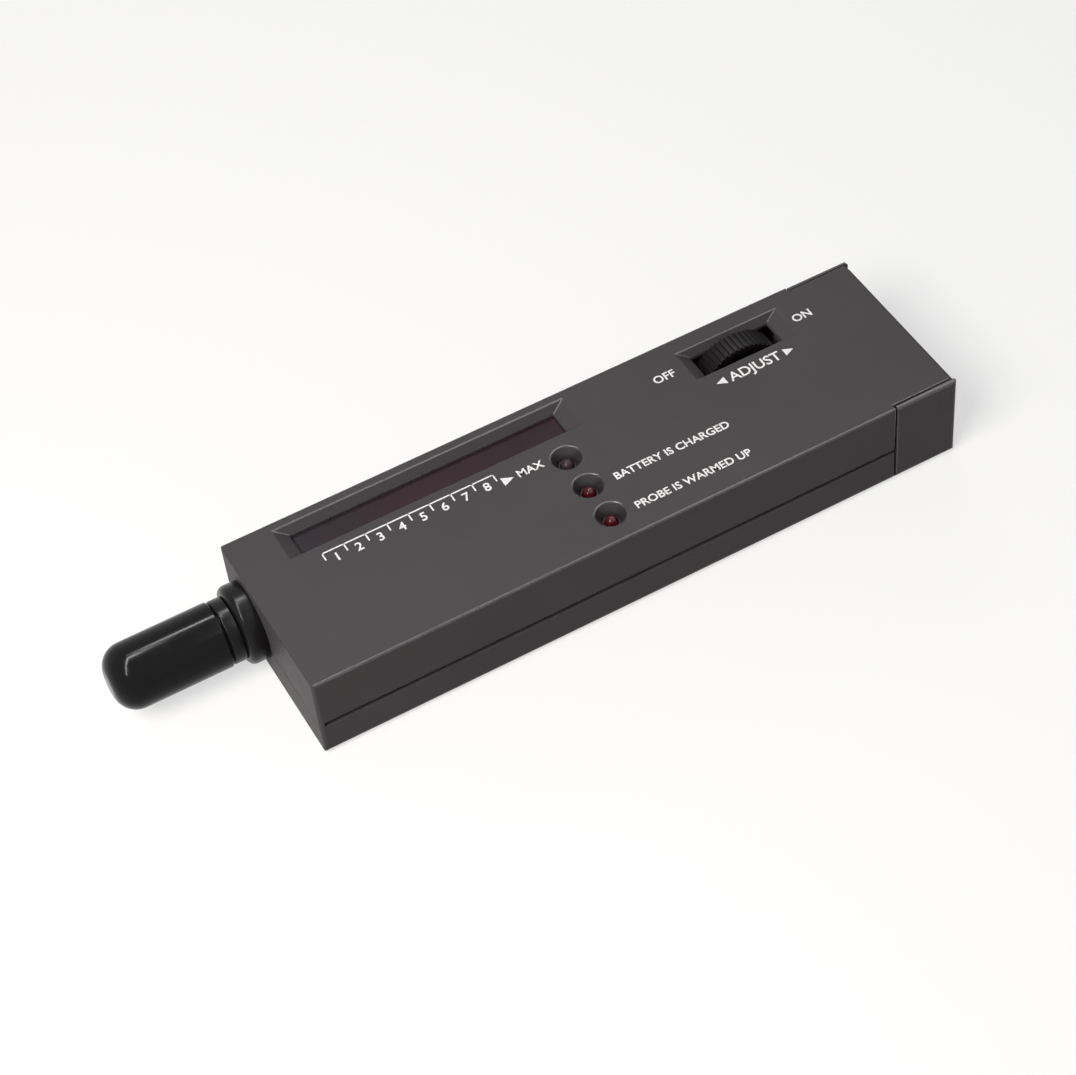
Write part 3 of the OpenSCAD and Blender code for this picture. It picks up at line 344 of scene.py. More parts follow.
def fillMesh(name, points, closed):
    # quads join each grid point to its next neighbours; a closed direction joins its last row to its first
    rows, columns = points.shape[:2]
    index = np.arange(rows * columns).reshape(rows, columns)
    index = np.vstack([index, index[:1]]) if closed[0] else index
    index = np.hstack([index, index[:, :1]]) if closed[1] else index
    quads = np.stack([index[:-1, :-1], index[1:, :-1], index[1:, 1:], index[:-1, 1:]], -1)
    mesh = bpy.data.meshes.new(name)
    mesh.from_pydata(points.reshape(-1, 3), [], quads.reshape(-1, 4))
    closeSurface(mesh)
    return mesh


def finishPiece(mesh, material, body, replaced=None, sharpAngle=32):
    # smooth shading with edges sharper than the angle kept crisp, then the piece's body, slot and node
    mesh.shade_smooth()
    mesh.set_sharp_from_angle(angle=np.radians(sharpAngle))
    mesh.materials.clear()
    mesh.materials.append(material)
    piece = bpy.data.objects.new(mesh.name, mesh)
    bpy.context.scene.collection.objects.link(piece)
    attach(piece, body)
    if replaced:
        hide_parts(replaced)
    return piece


# mouldings of the case: the solids with every longer sharp edge and the rims of the lamp dishes rolled a
# little, as a mould leaves them. slanted is the range of a sloping face's upward normal, rubMm is how far
# in from the top and the sides the rubbed finish reaches (smoother, and lighter as a painted highlight),
# recessMm is how far below the top a face still counts as in a recess, nearward is the Y of the normal
# below which a face looks to the near side, and the dish values say how near a lamp's axis and how deep
# the darker dish finish, a painted shade, is used.
softLook = {"sharpDeg": 24, "flatDeg": 0.5, "shortestMm": 1.2, "rollMm": 0.2, "segments": 2,
            "levelMm": 0.001, "mergeMm": 0.001, "slanted": (0.1, 0.98), "rubMm": 1.0, "recessMm": 2.2,
            "nearward": -0.1, "dishMm": 3.4, "dishFromMm": 0.3, "dishToMm": 2.2}
# places of the three finishes in the slots of a moulding
plainFinish = 0
rubbedHighlightFinish = 1
dishShadeFinish = 2
doorX = span("battery_door")[0][0]
lampNodes = ("lamp_result", "lamp_battery", "lamp_ready")
lampSpots = np.array([np.mean(span(node), 0)[:2] for node in lampNodes])


def cleanedCopy(name, node):
    # a copy of the node's solid: doubles merged, flat facets joined, edges to roll given a weight of one,
    # and slanted faces along the upper sides given the rubbed finish, lighter as a painted highlight
    shape = bmesh.new()
    shape.from_mesh(nodes[node].data)
    for layer in list(shape.loops.layers.float_vector.values()):
        shape.loops.layers.float_vector.remove(layer)
    bmesh.ops.remove_doubles(shape, verts=shape.verts, dist=softLook["mergeMm"] * mm)
    bmesh.ops.dissolve_limit(shape, angle_limit=np.radians(softLook["flatDeg"]), verts=shape.verts,
                             edges=shape.edges)
    weight = shape.edges.layers.float.new("bevel_weight_edge")
    for edge in shape.edges:
        crisp = edge.calc_face_angle(0.0) > np.radians(softLook["sharpDeg"])
        edge.smooth = not crisp
        onTop = min(corner.co.z for corner in edge.verts) > topZ - softLook["levelMm"] * mm
        edge[weight] = float(crisp and (onTop or edge.calc_length() > softLook["shortestMm"] * mm))
    rub = softLook["rubMm"] * mm
    least, most = softLook["slanted"]
    for face in shape.faces:
        face.smooth = True
        middle = face.calc_center_median()
        outer = middle.z > topZ - rub and abs(middle.y) > sideY - rub
        wornAndHighlighted = outer and least < face.normal.z < most
        # the rubbed finish along the upper sides is lighter as a painted highlight
        face.material_index = rubbedHighlightFinish if wornAndHighlighted else plainFinish
    mesh = bpy.data.meshes.new(name)
    shape.to_mesh(mesh)
    shape.free()
    if "custom_normal" in mesh.attributes:
        mesh.attributes.remove(mesh.attributes["custom_normal"])
    for material in (materials["case_plastic"], rubbedEdgeHighlightAbs, dishShadeAbs):
        mesh.materials.append(material)
    return mesh


def placeRecessHighlightAndDishShade(mesh):
    # in the recesses of the top only faces that look to the near side keep the rubbed finish, so that its
    # painted highlight lies on the far rims alone; below their rims, the lamp dishes take a darker finish of
    # their own, a painted shade
    faces = len(mesh.polygons)
    middle = np.empty(faces * 3)
    normal = np.empty(faces * 3)
    finish = np.empty(faces, int)
    mesh.polygons.foreach_get("center", middle)
    mesh.polygons.foreach_get("normal", normal)
    mesh.polygons.foreach_get("material_index", finish)
    x, y, z = middle.reshape(-1, 3).T
    rub = softLook["rubMm"] * mm
    inside = (z > topZ - softLook["recessMm"] * mm) & (np.abs(y) < sideY - rub)
    inside &= (x > probeEndX + rub) & (x < doorX - rub)
    finish[inside & (normal[1::3] > softLook["nearward"])] = plainFinish
    toLamp = np.hypot(x[:, None] - lampSpots[:, 0], y[:, None] - lampSpots[:, 1]).min(1)
    depth = topZ - z
    sunk = (depth > softLook["dishFromMm"] * mm) & (depth < softLook["dishToMm"] * mm)
    # the dish finish is darker as a painted shade
    finish[sunk & (toLamp < softLook["dishMm"] * mm)] = dishShadeFinish
    mesh.polygons.foreach_set("material_index", finish)


def softenedCopy(name, node, body, rubbedAndHighlighted):
    # the node's solid with its weighted edges bevelled; where it is rubbed, the bevels take the rubbed
    # finish
    # too: polished, and lighter as a painted highlight
    piece = bpy.data.objects.new(name, cleanedCopy(name, node))
    bpy.context.scene.collection.objects.link(piece)
    roll = piece.modifiers.new("rolledEdges", "BEVEL")
    roll.limit_method = "WEIGHT"
    roll.width = softLook["rollMm"] * mm
    roll.segments = softLook["segments"]
    roll.use_clamp_overlap = False
    # the bevels take the rubbed finish, lighter as a painted highlight, or the plain one
    roll.material = rubbedHighlightFinish if rubbedAndHighlighted else plainFinish
    roll.harden_normals = True
    even = piece.modifiers.new("evenShading", "WEIGHTED_NORMAL")
    even.keep_sharp = True
    rolled = bpy.context.evaluated_depsgraph_get()
    piece.data = bpy.data.meshes.new_from_object(piece.evaluated_get(rolled),
                                                 preserve_all_data_layers=True, depsgraph=rolled)
    piece.modifiers.clear()
    placeRecessHighlightAndDishShade(piece.data)
    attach(piece, body)
    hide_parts(node)


softenedCopy("upperShellMoulding", "upper_shell", "case", True)
softenedCopy("lowerShellMoulding", "lower_shell", "case", False)
softenedCopy("batteryDoorMoulding", "battery_door", "door", True)
print("case mouldings done")

# probe pieces share one axis: d runs outwards from the case's end, r from the axis
capLow, capHigh = span("probe_cap")
probeAt = np.array((probeEndX, (capLow[1] + capHigh[1]) / 2, (capLow[2] + capHigh[2]) / 2))
outward = (-1.0, 0.0, 0.0)
alongCase = (1.0, 0.0, 0.0)
upward = (0.0, 0.0, 1.0)
probeSteps = 128

capShape = {"wallMm": 1.12, "endMm": 1.8, "endRoundMm": 5.0, "rimRoundMm": 0.4, "innerRoundMm": 3.2,
            "arcSteps": 12}


def capSurface():
    # a cup: outer end, wall, rim, bore and inner end, turned about the probe's axis
    radius = (capHigh[1] - capLow[1]) / 2
    rim = probeEndX - capHigh[0]
    end = probeEndX - capLow[0]
    bore = radius - capShape["wallMm"] * mm
    floor = end - capShape["endMm"] * mm
    corners = [(0, end), (radius, end), (radius, rim), (bore, rim), (bore, floor), (0, floor)]
    rounds = np.array([0, capShape["endRoundMm"], capShape["rimRoundMm"], capShape["rimRoundMm"] / 2,
                       capShape["innerRoundMm"], 0]) * mm
    return turned(roundCorners(corners, rounds, capShape["arcSteps"]), probeAt, outward, upward, probeSteps)


finishPiece(fillMesh("probeCapMoulding", capSurface(), (True, False)), capStyrene,
            "cap", "probe_cap")

collarShape = {"neckMm": 2.3, "frontRoundMm": 1.5, "backRoundMm": 0.2, "gapMm": 0.05, "boreMm": 5.0,
               "flangeMm": 7.6, "flangeFromMm": -3.55, "flangeToMm": -2.05, "arcSteps": 9}


def collarSurface():
    # a ring with a flange inside the case, a neck through the wall and a rounded front, turned likewise
    low, high = span("probe_collar")
    front = (high[1] - low[1]) / 2 / mm
    end = (probeEndX - low[0]) / mm
    neck = front - collarShape["neckMm"]
    bore, flange = collarShape["boreMm"], collarShape["flangeMm"]
    flangeFrom, flangeTo = collarShape["flangeFromMm"], collarShape["flangeToMm"]
    gap = collarShape["gapMm"]
    corners = np.array([(bore, flangeFrom), (flange, flangeFrom), (flange, flangeTo), (neck, flangeTo),
                        (neck, gap), (front, gap), (front, end), (bore, end)]) * mm
    rounds = np.array([0, 0, 0, 0, 0, collarShape["backRoundMm"], collarShape["frontRoundMm"], 0]) * mm
    outline = roundCorners(corners, rounds, collarShape["arcSteps"])
    return turned(outline, probeAt, outward, upward, probeSteps)


finishPiece(fillMesh("probeCollarRing", collarSurface(), (True, True)), materials["black_plastic"],
            "case", "probe_collar")

noseShape = {"barrelMm": 4.95, "boreMm": 2.2, "boreEndMm": 17.0, "guideMm": 0.85, "spigotMm": 6.0,
             "seatFromMm": 4.3, "seatToMm": 7.2, "spigotToMm": 13.0, "coneFromMm": 13.6, "coneBaseMm": 5.2,
             "coneTipMm": 2.0, "seatRoundMm": 0.4, "shoulderRoundMm": 0.25, "coneRoundMm": 0.5,
             "arcSteps": 7}


def noseSurface():
    # barrel, seat ring, spigot, shoulder and cone outside, guide hole and spring chamber inside, turned
    # likewise
    low, high = span("probe_nose")
    seat = (high[1] - low[1]) / 2 / mm
    inner = (probeEndX - high[0]) / mm
    outer = (probeEndX - low[0]) / mm
    bore, barrel, spigot, guide = (noseShape[key] for key in ("boreMm", "barrelMm", "spigotMm", "guideMm"))
    seatFrom, seatTo, boreEnd = (noseShape[key] for key in ("seatFromMm", "seatToMm", "boreEndMm"))
    corners = np.array([(bore, inner), (barrel, inner), (barrel, seatFrom), (seat, seatFrom),
                        (seat, seatTo), (spigot, seatTo), (spigot, noseShape["spigotToMm"]),
                        (noseShape["coneBaseMm"], noseShape["coneFromMm"]), (noseShape["coneTipMm"], outer),
                        (guide, outer), (guide, boreEnd), (bore, boreEnd)]) * mm
    seatRound, shoulderRound = noseShape["seatRoundMm"], noseShape["shoulderRoundMm"]
    rounds = np.array([0, 0, 0, seatRound, seatRound, 0, shoulderRound, shoulderRound,
                       noseShape["coneRoundMm"], 0, 0, 0]) * mm
    outline = roundCorners(corners, rounds, noseShape["arcSteps"])
    return turned(outline, probeAt, outward, upward, probeSteps)


finishPiece(fillMesh("probeNoseMoulding", noseSurface(), (True, True)), materials["black_plastic"],
            "case", "probe_nose")

# spring behind the tip: round steel wire, wound from the plug to the tip's head
springShape = {"coilMm": 1.45, "wireMm": 0.2, "turns": 6, "stepsPerTurn": 24, "sides": 10}
springLow, springHigh = span("probe_spring")


def coilSpring():
    # a tube round a helix: its middle line is (x, R sin a, R cos a) with x running evenly from end to end,
    # and each ring is spanned by the way out from the axis and by the way across that and the line
    coil = springShape["coilMm"] * mm
    wire = springShape["wireMm"] * mm
    turns = springShape["turns"]
    count = turns * springShape["stepsPerTurn"] + 1
    a = np.linspace(0, 2 * np.pi * turns, count)
    run = springLow[0] - springHigh[0] + 2 * wire
    x = springHigh[0] - wire + run * np.linspace(0, 1, count)
    out = np.stack([np.zeros(count), np.sin(a), np.cos(a)], -1)
    line = np.stack([x, probeAt[1] + coil * np.sin(a), probeAt[2] + coil * np.cos(a)], -1)
    ahead = np.stack([np.full(count, run / a[-1]), coil * np.cos(a), -coil * np.sin(a)], -1)
    across = np.cross(ahead / np.linalg.norm(ahead, axis=1, keepdims=True), out)
    k = np.linspace(0, 2 * np.pi, springShape["sides"], endpoint=False)[None, :, None]
    ring = wire * (np.cos(k) * out[:, None] + np.sin(k) * across[:, None])
    ends = np.zeros_like(ring[:1])
    rings = np.concatenate([ends, ring, ends])
    return rings + np.concatenate([line[:1], line, line[-1:]])[:, None]


spring = finishPiece(fillMesh("probeSpringCoil", coilSpring(), (False, True)), materials["steel"],
                     "case", "probe_spring")
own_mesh(spring)
print("probe done")

# meter window: a strip with its edges just broken
windowShape = {"cornerMm": 0.5, "edgeMm": 0.15}


def windowSurface():
    # a slab stacked upwards, drawn in by the broken edge at its first and last ring
    low, high = span("meter_window")
    edge = windowShape["edgeMm"] * mm
    rim = np.array([(edge, low[2]), (0, low[2] + edge), (0, high[2] - edge), (edge, high[2])])
    return softSlab(low, high, windowShape["cornerMm"] * mm, rim, along=2)


finishPiece(fillMesh("meterWindowStrip", windowSurface(), (False, True)), materials["smoked_window"],
            "case", "meter_window")

# lamps: a flange, a barrel and a dome
lampShape = {"flangeMm": 1.0, "stepMm": 0.4, "flangeRoundMm": 0.12, "arcSteps": 4, "domeSteps": 14,
             "steps": 64}


def lampBulb(name, node, slot):
    # the dome is a quarter circle, (r cos t, top - r + r sin t), carried round the lamp's own axis
    low, high = span(node)
    flange = (high[0] - low[0]) / 2
    barrel = flange - lampShape["stepMm"] * mm
    shelf = lampShape["flangeMm"] * mm
    height = high[2] - low[2]
    rounds = np.array([0, lampShape["flangeRoundMm"], lampShape["flangeRoundMm"], 0]) * mm
    corners = [(0, 0), (flange, 0), (flange, shelf), (barrel, shelf)]
    foot = roundCorners(corners, rounds, lampShape["arcSteps"])
    t = np.linspace(0, np.pi / 2, lampShape["domeSteps"])[:, None]
    dome = np.hstack([barrel * np.cos(t), height - barrel + barrel * np.sin(t)])
    at = ((low[0] + high[0]) / 2, (low[1] + high[1]) / 2, low[2])
    grid = turned(np.vstack([foot, dome]), at, upward, alongCase, lampShape["steps"])
    finishPiece(fillMesh(name, grid, (True, False)), materials[slot], "case", node)


lampBulb("lampResultBulb", "lamp_result", "lamp_clear")
lampBulb("lampBatteryBulb", "lamp_battery", "lamp_red")
lampBulb("lampReadyBulb", "lamp_ready", "lamp_red")
print("window and lamps done")

# thumbwheel: rim, web and hub, with ribs across the rim. ribBias and ribGain set how wide a rib is beside
# its groove, and ribReach is the share of the rim, from its inside, over which the grooves reach full depth.
wheelShape = {"ribs": 50, "ribMm": 0.38, "ribBias": 0.85, "ribGain": 1.2, "ribReach": 0.6, "rimMm": 1.8,
              "webMm": 1.6, "hubMm": 3.4, "boreMm": 1.55, "hubFloorMm": 0.6, "screwMm": 0.75,
              "rimRoundMm": 0.3, "edgeRoundMm": 0.12, "arcSteps": 5, "stepsPerRib": 12}


def ribbedWheel():
    # the section (r, y) turns about the axis; near the rim its radius drops by the rib depth between ribs,
    # where the rib's height over the angle is a cosine pushed through a smooth step
    low, high = span("volume_wheel")
    r1 = (high[2] - low[2]) / 2 / mm
    y1 = (high[1] - low[1]) / 2 / mm
    r0 = r1 - wheelShape["rimMm"]
    web = wheelShape["webMm"] / 2
    hub, bore, screw = wheelShape["hubMm"], wheelShape["boreMm"], wheelShape["screwMm"]
    floor = wheelShape["hubFloorMm"] - y1
    corners = [(screw, -y1), (hub, -y1), (hub, -web), (r0, -web), (r0, -y1), (r1, -y1), (r1, y1),
               (r0, y1), (r0, web), (hub, web), (hub, y1), (bore, y1), (bore, floor), (screw, floor)]
    rim, edge = wheelShape["rimRoundMm"], wheelShape["edgeRoundMm"]
    rounds = [0, edge, edge, edge, edge, rim, rim, edge, edge, edge, edge, edge, 0, 0]
    section = roundCorners(corners, rounds, wheelShape["arcSteps"]) * mm
    ribs = wheelShape["ribs"]
    a = np.linspace(0, 2 * np.pi, ribs * wheelShape["stepsPerRib"], endpoint=False)[:, None]
    wave = np.clip(wheelShape["ribBias"] + wheelShape["ribGain"] * np.cos(ribs * a), 0, 1)
    rib = wave * wave * (3 - 2 * wave)
    reach = wheelShape["rimMm"] * mm * wheelShape["ribReach"]
    outer = np.clip((section[None, :, 0] - r0 * mm) / reach, 0, 1)
    r = section[None, :, 0] - wheelShape["ribMm"] * mm * (1 - rib) * outer
    centre = (low + high) / 2
    points = np.empty((*r.shape, 3))
    points[..., 0] = centre[0] + r * np.sin(a)
    points[..., 1] = centre[1] + section[None, :, 1]
    points[..., 2] = centre[2] + r * np.cos(a)
    return points


finishPiece(fillMesh("thumbwheelRibbed", ribbedWheel(), (True, True)), materials["wheel_plastic"],
            "wheel", "volume_wheel")
print("wheel done")

# white print: a bracket with ticks, numerals, short words and pointers, lying on the top face
inkThick = 0.03 * mm
scalePrint = {"fromXMm": -58.2, "toXMm": -18.9, "lineYMm": 8.1, "tickMm": 2.0, "lineMm": 0.32,
              "divisions": 8, "numeralYMm": 5.9, "numeralMm": 2.25}
# each pointer's x, y and half size in mm, and the side that it points to; heel and wing are shares of the
# half size
pointerPrint = [(-17.0, 5.2, 1.5, 1), (34.4, 4.95, 1.3, -1), (50.7, 5.0, 1.3, 1)]
pointerShape = {"heel": 0.7, "wing": 0.8}
# each word's x, y and capital height in mm, and which part of it stands at x
wordPrint = [("MAX", -14.6, 4.45, 2.0, "LEFT"), ("BATTERY IS CHARGED", 1.9, -6.9, 1.95, "LEFT"),
             ("PROBE IS WARMED UP", 1.6, -16.0, 1.95, "LEFT"), ("OFF", 24.9, 11.8, 2.1, "CENTER"),
             ("ON", 58.8, 11.3, 2.1, "CENTER"), ("ADJUST", 42.5, 3.8, 2.6, "CENTER")]
# capital height as a share of the letter size, how far the strokes are thickened, and points per curve
letterShape = {"capital": 0.72, "boldMm": 0.05, "curveSteps": 4}


def inkPrisms(name, outlines):
    # flat outlines of one corner count, raised straight up by the ink's thickness
    count, corners = outlines.shape[:2]
    floor = np.concatenate([outlines * mm, np.full((count, corners, 1), topZ)], -1)
    points = np.concatenate([floor, floor + (0, 0, inkThick)], 1).reshape(-1, 3)
    k = np.arange(corners)
    k2 = np.roll(k, -1)
    walls = np.stack([k, k2, k2 + corners, k + corners], -1)
    starts = np.arange(count)[:, None] * 2 * corners
    caps = np.concatenate([starts + k[::-1], starts + k + corners]).tolist()
    mesh = bpy.data.meshes.new(name)
    mesh.from_pydata(points, [], caps + (starts[:, :, None] + walls).reshape(-1, 4).tolist())
    return mesh


def scaleBars():
    # upright ticks at even steps, and last the line that joins their tops, each as four corners
    ticks = np.linspace(scalePrint["fromXMm"], scalePrint["toXMm"], scalePrint["divisions"] + 1)
    half = scalePrint["lineMm"] / 2
    lineY = scalePrint["lineYMm"]
    x0 = np.append(ticks - half, ticks[0] - half)
    x1 = np.append(ticks + half, ticks[-1] + half)
    y1 = np.full(len(x0), lineY + half)
    y0 = np.append(np.full(len(ticks), lineY - scalePrint["tickMm"]), lineY - half)
    corners = ((x0, y0), (x1, y0), (x1, y1), (x0, y1))
    return ticks, np.stack([np.stack(pair, -1) for pair in corners], 1)


def pointerOutlines():
    # triangles: a tip ahead of the middle and two heels behind it, mirrored for a pointer to the left
    x, y, half, side = np.array(pointerPrint).T
    ahead = side * half
    heel = x - ahead * pointerShape["heel"]
    wing = ahead * pointerShape["wing"]
    corners = ((heel, y - wing), (x + ahead, y), (heel, y + wing))
    return np.stack([np.stack(pair, -1) for pair in corners], 1)


def wordMesh(text, x, y, height, align):
    # a plain word or numeral, made a mesh and then set down at its place on the top face
    curve = bpy.data.curves.new("word", "FONT")
    curve.body = text
    curve.align_x = align
    curve.size = height / letterShape["capital"]
    curve.offset = letterShape["boldMm"]
    curve.extrude = inkThick / mm / 2
    curve.resolution_u = letterShape["curveSteps"]
    holder = bpy.data.objects.new("word", curve)
    bpy.context.scene.collection.objects.link(holder)
    mesh = bpy.data.meshes.new_from_object(holder.evaluated_get(bpy.context.evaluated_depsgraph_get()))
    bpy.data.objects.remove(holder)
    mesh.transform(Matrix.Translation((x * mm, y * mm, topZ + inkThick / 2)) @ Matrix.Scale(mm, 4))
    return mesh


def printPiece(name, meshes):
    # several meshes joined as one piece of print
    shape = bmesh.new()
    for mesh in meshes:
        shape.from_mesh(mesh)
    joined = bpy.data.meshes.new(name)
    shape.to_mesh(joined)
    shape.free()
    finishPiece(joined, materials["print_white"], "case")


ticksX, bars = scaleBars()
numeralFoot = scalePrint["numeralYMm"] - scalePrint["numeralMm"] / 2
numerals = [wordMesh(str(i + 1), x, numeralFoot, scalePrint["numeralMm"], "CENTER")
            for i, x in enumerate((ticksX[:-1] + ticksX[1:]) / 2)]
words = [wordMesh(*word) for word in wordPrint]
printPiece("scaleTicksPrint", [inkPrisms("bars", bars)] + numerals)
printPiece("wordsPrint", [inkPrisms("pointers", pointerOutlines())] + words)
print("print done")

# finishes of the parts inside that need a pattern of their own; the board's track sizes are in units of
# two pitches
boardLook = {"shade": "#1f5a35", "trace": "#2f7a48", "pitchMm": 2.54, "trackLong": 1.6, "trackRow": 0.5,
             "trackShare": 0.12, "cloudMm": 1.2, "smooth": 0.25, "rough": 0.36, "dentMm": 0.03}


def boardMask(look):
    # green solder mask over etched copper: a grid of tracks shows as a paler, slightly raised green
    material, tree, shader, place = startMaterial("boardSolderMask", {})
    mask = linear(look["shade"])
    pitch = 1 / (look["pitchMm"] * mm)
    tracks = addNode(tree, "TexBrick", {"Vector": place, "Color1": mask, "Color2": mask,
                                        "Mortar": linear(look["trace"]), "Scale": pitch / 2,
                                        "Mortar Size": look["trackShare"],
                                        "Brick Width": look["trackLong"], "Row Height": look["trackRow"]})
    cloud = addNode(tree, "TexNoise", {"Vector": place, "Scale": 1 / (look["cloudMm"] * mm)})
    dressShader(tree, shader, tracks.outputs["Color"], cloud, tracks.outputs["Fac"], look, wholeRange)
    return material


def bandedAlong(name, node, axis, look):
    # colour bands across a node, by how far along one of its axes a point lies
    low, high = span(node)
    material, tree, shader, place = startMaterial(name, {})
    axes = addNode(tree, "SeparateXYZ", {"Vector": place})
    share = addNode(tree, "MapRange", {"Value": axes.outputs[axis], "From Min": low[axis],
                                       "From Max": high[axis]})
    bands = addNode(tree, "ValToRGB", {"Fac": share}, stops=look["bands"])
    bands.color_ramp.interpolation = "CONSTANT"
    cloud = addNode(tree, "TexNoise", {"Vector": place, "Scale": 1 / (look["cloudMm"] * mm)})
    dressShader(tree, shader, bands.outputs[0], cloud, cloud, look, wholeRange)
    return material


# lacquered carbon-film resistors: tan with four painted rings
resistorLook = {"bands": [(0.0, "#b9bbbd"), (0.1, "#c9a56b"), (0.24, "#6b3a1e"), (0.32, "#c9a56b"),
                          (0.4, "#1f1c1b"), (0.48, "#c9a56b"), (0.56, "#b5301f"), (0.64, "#c9a56b"),
                          (0.78, "#b08a3c"), (0.86, "#c9a56b")],
                "cloudMm": 0.8, "smooth": 0.3, "rough": 0.42, "dentMm": 0.005}
# electrolytic cans: dark blue shrink sleeve with a bare aluminium top
canLook = {**resistorLook, "bands": [(0.0, "#20293f"), (0.93, "#b9babc")], "smooth": 0.22, "rough": 0.34}
# tin-plate jacket of the battery, lacquered dark with one plain pale band
jacketLook = {**resistorLook, "smooth": 0.24, "rough": 0.38,
              "bands": [(0.0, "#b8b9bb"), (0.03, "#2c2f35"), (0.16, "#8d9097"), (0.2, "#2c2f35"),
                        (0.97, "#b8b9bb")]}
materials["board_green"] = boardMask(boardLook)
materials["resistor_tan"] = bandedAlong("resistorLacquered", "resistors", 1, resistorLook)
materials["can_blue"] = bandedAlong("capacitorSleeve", "capacitors", 2, canLook)
materials["battery_skin"] = bandedAlong("batteryJacketLacquered", "battery_case", 0, jacketLook)

# battery: a rolled jacket with a sunk end
batteryShape = {"cornerMm": 2.5, "rollMm": 0.7, "lipMm": 1.5, "sinkMm": 0.5, "sinkRun": 0.25, "arcSteps": 6}


def batterySurface():
    # a slab stacked along the case: both ends roll over a quarter circle, and the last then steps down
    # inside its lip
    low, high = span("battery_case")
    roll = batteryShape["rollMm"] * mm
    lip = batteryShape["lipMm"] * mm
    end = high[0]
    t = np.linspace(0, np.pi / 2, batteryShape["arcSteps"])
    rolled = np.stack([roll * (1 - np.cos(t)), end - roll + roll * np.sin(t)], -1)
    sunk = np.array([(lip, end), (lip + roll * batteryShape["sinkRun"], end - batteryShape["sinkMm"] * mm)])
    foot = np.stack([rolled[::-1, 0], low[0] + end - rolled[::-1, 1]], -1)
    return softSlab(low, high, batteryShape["cornerMm"] * mm, np.vstack([foot, rolled, sunk]), along=0)


finishPiece(fillMesh("batteryJacket", batterySurface(), (False, True)), materials["battery_skin"],
            "case", "battery_case")

# solids that are shown as they are take the finish of their slot
for part in frame["record"]["subparts"]:
    slots = nodes[part["node"]].data.materials
    slots.clear()
    slots.append(materials[part["material_slot"]])
print("finishes set on", len(nodes), "nodes")

# stage: pale floor, soft light, and the camera at the photograph's place
camera = {"atMm": (-171.95, -354.05, 454.70), "azimuth": -24.05, "elevation": 49.10, "roll": -6.614,
          "focalPx": 2844.5, "frameWidthPx": 1076, "sensorMm": 36}


def placeCamera(look):
    # forward from azimuth and elevation, then the level right and up turned by the roll
    a, e, r = np.radians((look["azimuth"], look["elevation"], look["roll"]))
    forward = np.array((-np.sin(a) * np.cos(e), np.cos(a) * np.cos(e), -np.sin(e)))
    level = np.array((np.cos(a), np.sin(a), 0.0))
    upright = np.cross(level, forward)
    right = level * np.cos(r) + upright * np.sin(r)
    up = np.cross(right, forward)
    data = bpy.data.cameras.new("viewpoint")
    data.sensor_fit = "HORIZONTAL"
    data.sensor_width = look["sensorMm"]
    data.lens = look["sensorMm"] * look["focalPx"] / look["frameWidthPx"]
    view = bpy.data.objects.new("viewpoint", data)
    bpy.context.scene.collection.objects.link(view)
    pose = np.eye(4)
    pose[:3, :3] = np.stack([right, up, -forward], -1)
    pose[:3, 3] = np.array(look["atMm"]) * mm
    view.matrix_world = Matrix(pose.tolist())
    bpy.context.scene.camera = view


placeCamera(camera)

# light, in metres and watts. Soft boxes aim at the object and light it: a strong one from above the probe
# end and a weak one behind. Overheads face straight down, turned about Z by some degrees, and are what
# glossy edges and the cap reflect.
softBoxes = {
    "keySoftbox": {"at": (-0.42, -0.2, 0.55), "size": (0.36, 0.36), "watts": 4.85},
    "rearSoftbox": {"at": (0.3, 0.7, 0.3), "size": (0.4, 0.4), "watts": 1.0},
}
overheads = {
    "backStrip": {"at": (0.235, 0.36, 0.76), "size": (0.53, 0.055), "watts": 4.8, "turn": 0},
    "frontPanel": {"at": (0.444, -0.22, 0.76), "size": (0.632, 0.66), "watts": 5.0, "turn": 0},
    "endStrip": {"at": (-0.37, -0.11, 0.76), "size": (1.0, 0.05), "watts": 8.0, "turn": 47},
}


def addLamp(name, lamp, reflected):
    # a rectangle of light: a reflected one shows only in gloss, and any other lights only what is matt
    light = bpy.data.lights.new(name, "AREA")
    light.shape = "RECTANGLE"
    light.size, light.size_y = lamp["size"]
    light.energy = lamp["watts"]
    holder = bpy.data.objects.new(name, light)
    bpy.context.scene.collection.objects.link(holder)
    holder.location = lamp["at"]
    holder.visible_glossy = reflected
    holder.visible_diffuse = not reflected
    return holder


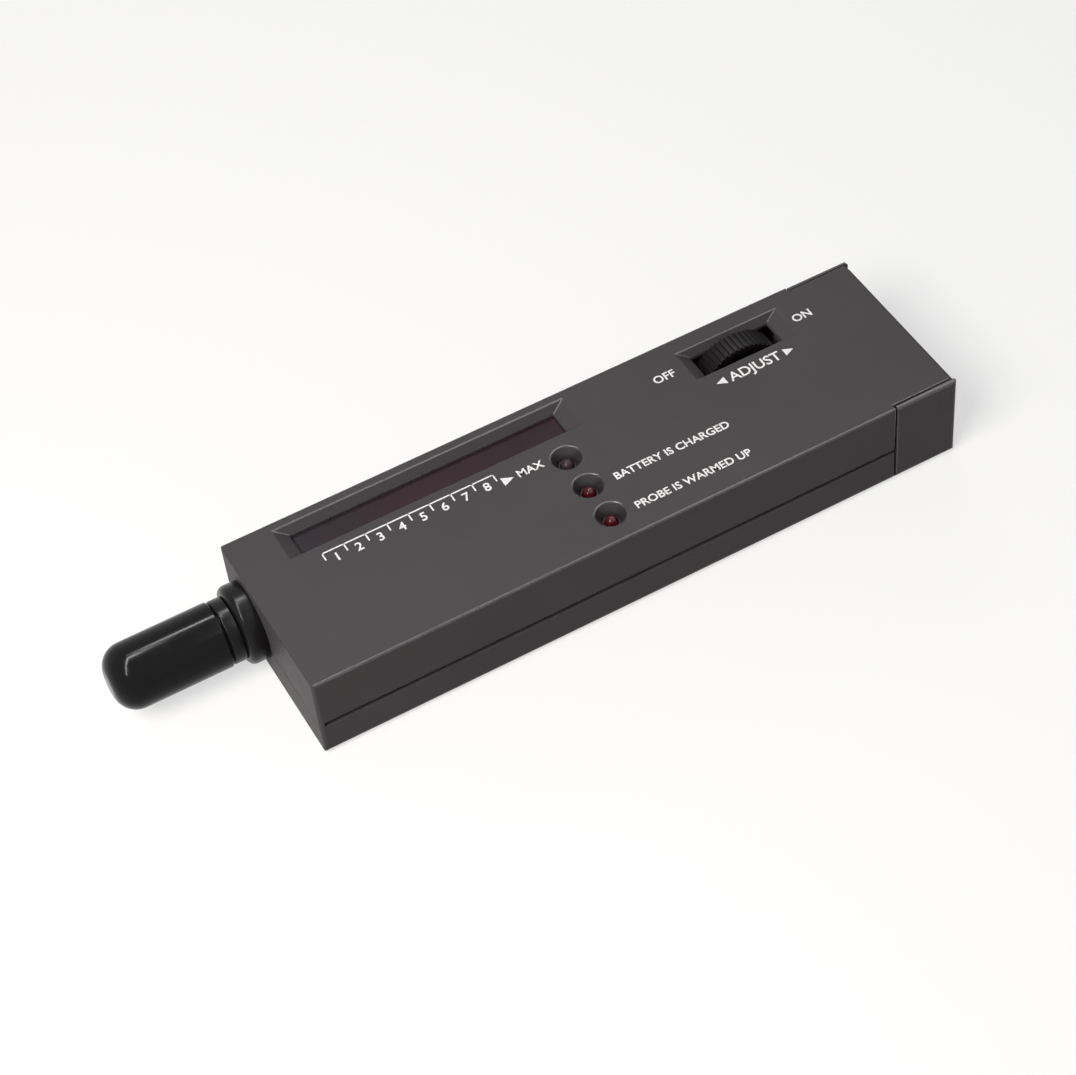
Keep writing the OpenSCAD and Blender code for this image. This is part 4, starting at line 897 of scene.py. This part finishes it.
for name, lamp in softBoxes.items():
    holder = addLamp(name, lamp, False)
    holder.rotation_euler = holder.location.to_track_quat("Z", "Y").to_euler()
for name, lamp in overheads.items():
    addLamp(name, lamp, True).rotation_euler.z = np.radians(lamp["turn"])

floorLook = {"halfSize": 3.0, "paper": "#b0aeac", "lift": 0.6,
             "sockets": {"Roughness": 0.9, "Specular IOR Level": 0.1, "Emission Color": (1, 1, 1, 1)}}
skyLook = {"seen": "#ffffff", "fill": "#e8ebf0", "fillStrength": 0.18}


def seenDirectly(tree):
    # one where the camera, a reflection or a clear piece looks straight at the backdrop
    path = addNode(tree, "LightPath")
    first = addNode(tree, "Math", {0: path.outputs["Is Camera Ray"], 1: path.outputs["Is Glossy Ray"]},
                    operation="MAXIMUM")
    return addNode(tree, "Math", {0: first, 1: path.outputs["Is Transmission Ray"]}, operation="MAXIMUM")


def layFloor(look):
    # a square of pale paper, lifted towards white where it is seen directly
    half = look["halfSize"]
    mesh = bpy.data.meshes.new("floor")
    mesh.from_pydata([(-half, -half, 0), (half, -half, 0), (half, half, 0), (-half, half, 0)], [],
                     [(0, 1, 2, 3)])
    floorObject = bpy.data.objects.new("floor", mesh)
    bpy.context.scene.collection.objects.link(floorObject)
    sockets = {**look["sockets"], "Base Color": linear(look["paper"])}
    material, tree, shader, place = startMaterial("floorPaper", sockets)
    lift = addNode(tree, "Math", {0: seenDirectly(tree), 1: look["lift"]}, operation="MULTIPLY")
    tree.links.new(lift.outputs[0], shader.inputs["Emission Strength"])
    mesh.materials.append(material)


def hangSky(look):
    # a weak even fill for the object, and plain white where the backdrop is seen directly
    world = bpy.data.worlds.new("studio")
    bpy.context.scene.world = world
    world.use_nodes = True
    tree = world.node_tree
    fill = addNode(tree, "Background", {"Color": linear(look["fill"]), "Strength": look["fillStrength"]})
    plain = addNode(tree, "Background", {"Color": linear(look["seen"]), "Strength": 1.0})
    both = addNode(tree, "MixShader", {0: seenDirectly(tree), 1: fill, 2: plain})
    tree.links.new(both.outputs[0], tree.nodes["World Output"].inputs["Surface"])


layFloor(floorLook)
hangSky(skyLook)
bpy.context.scene.view_settings.view_transform = "Standard"
print("stage done")
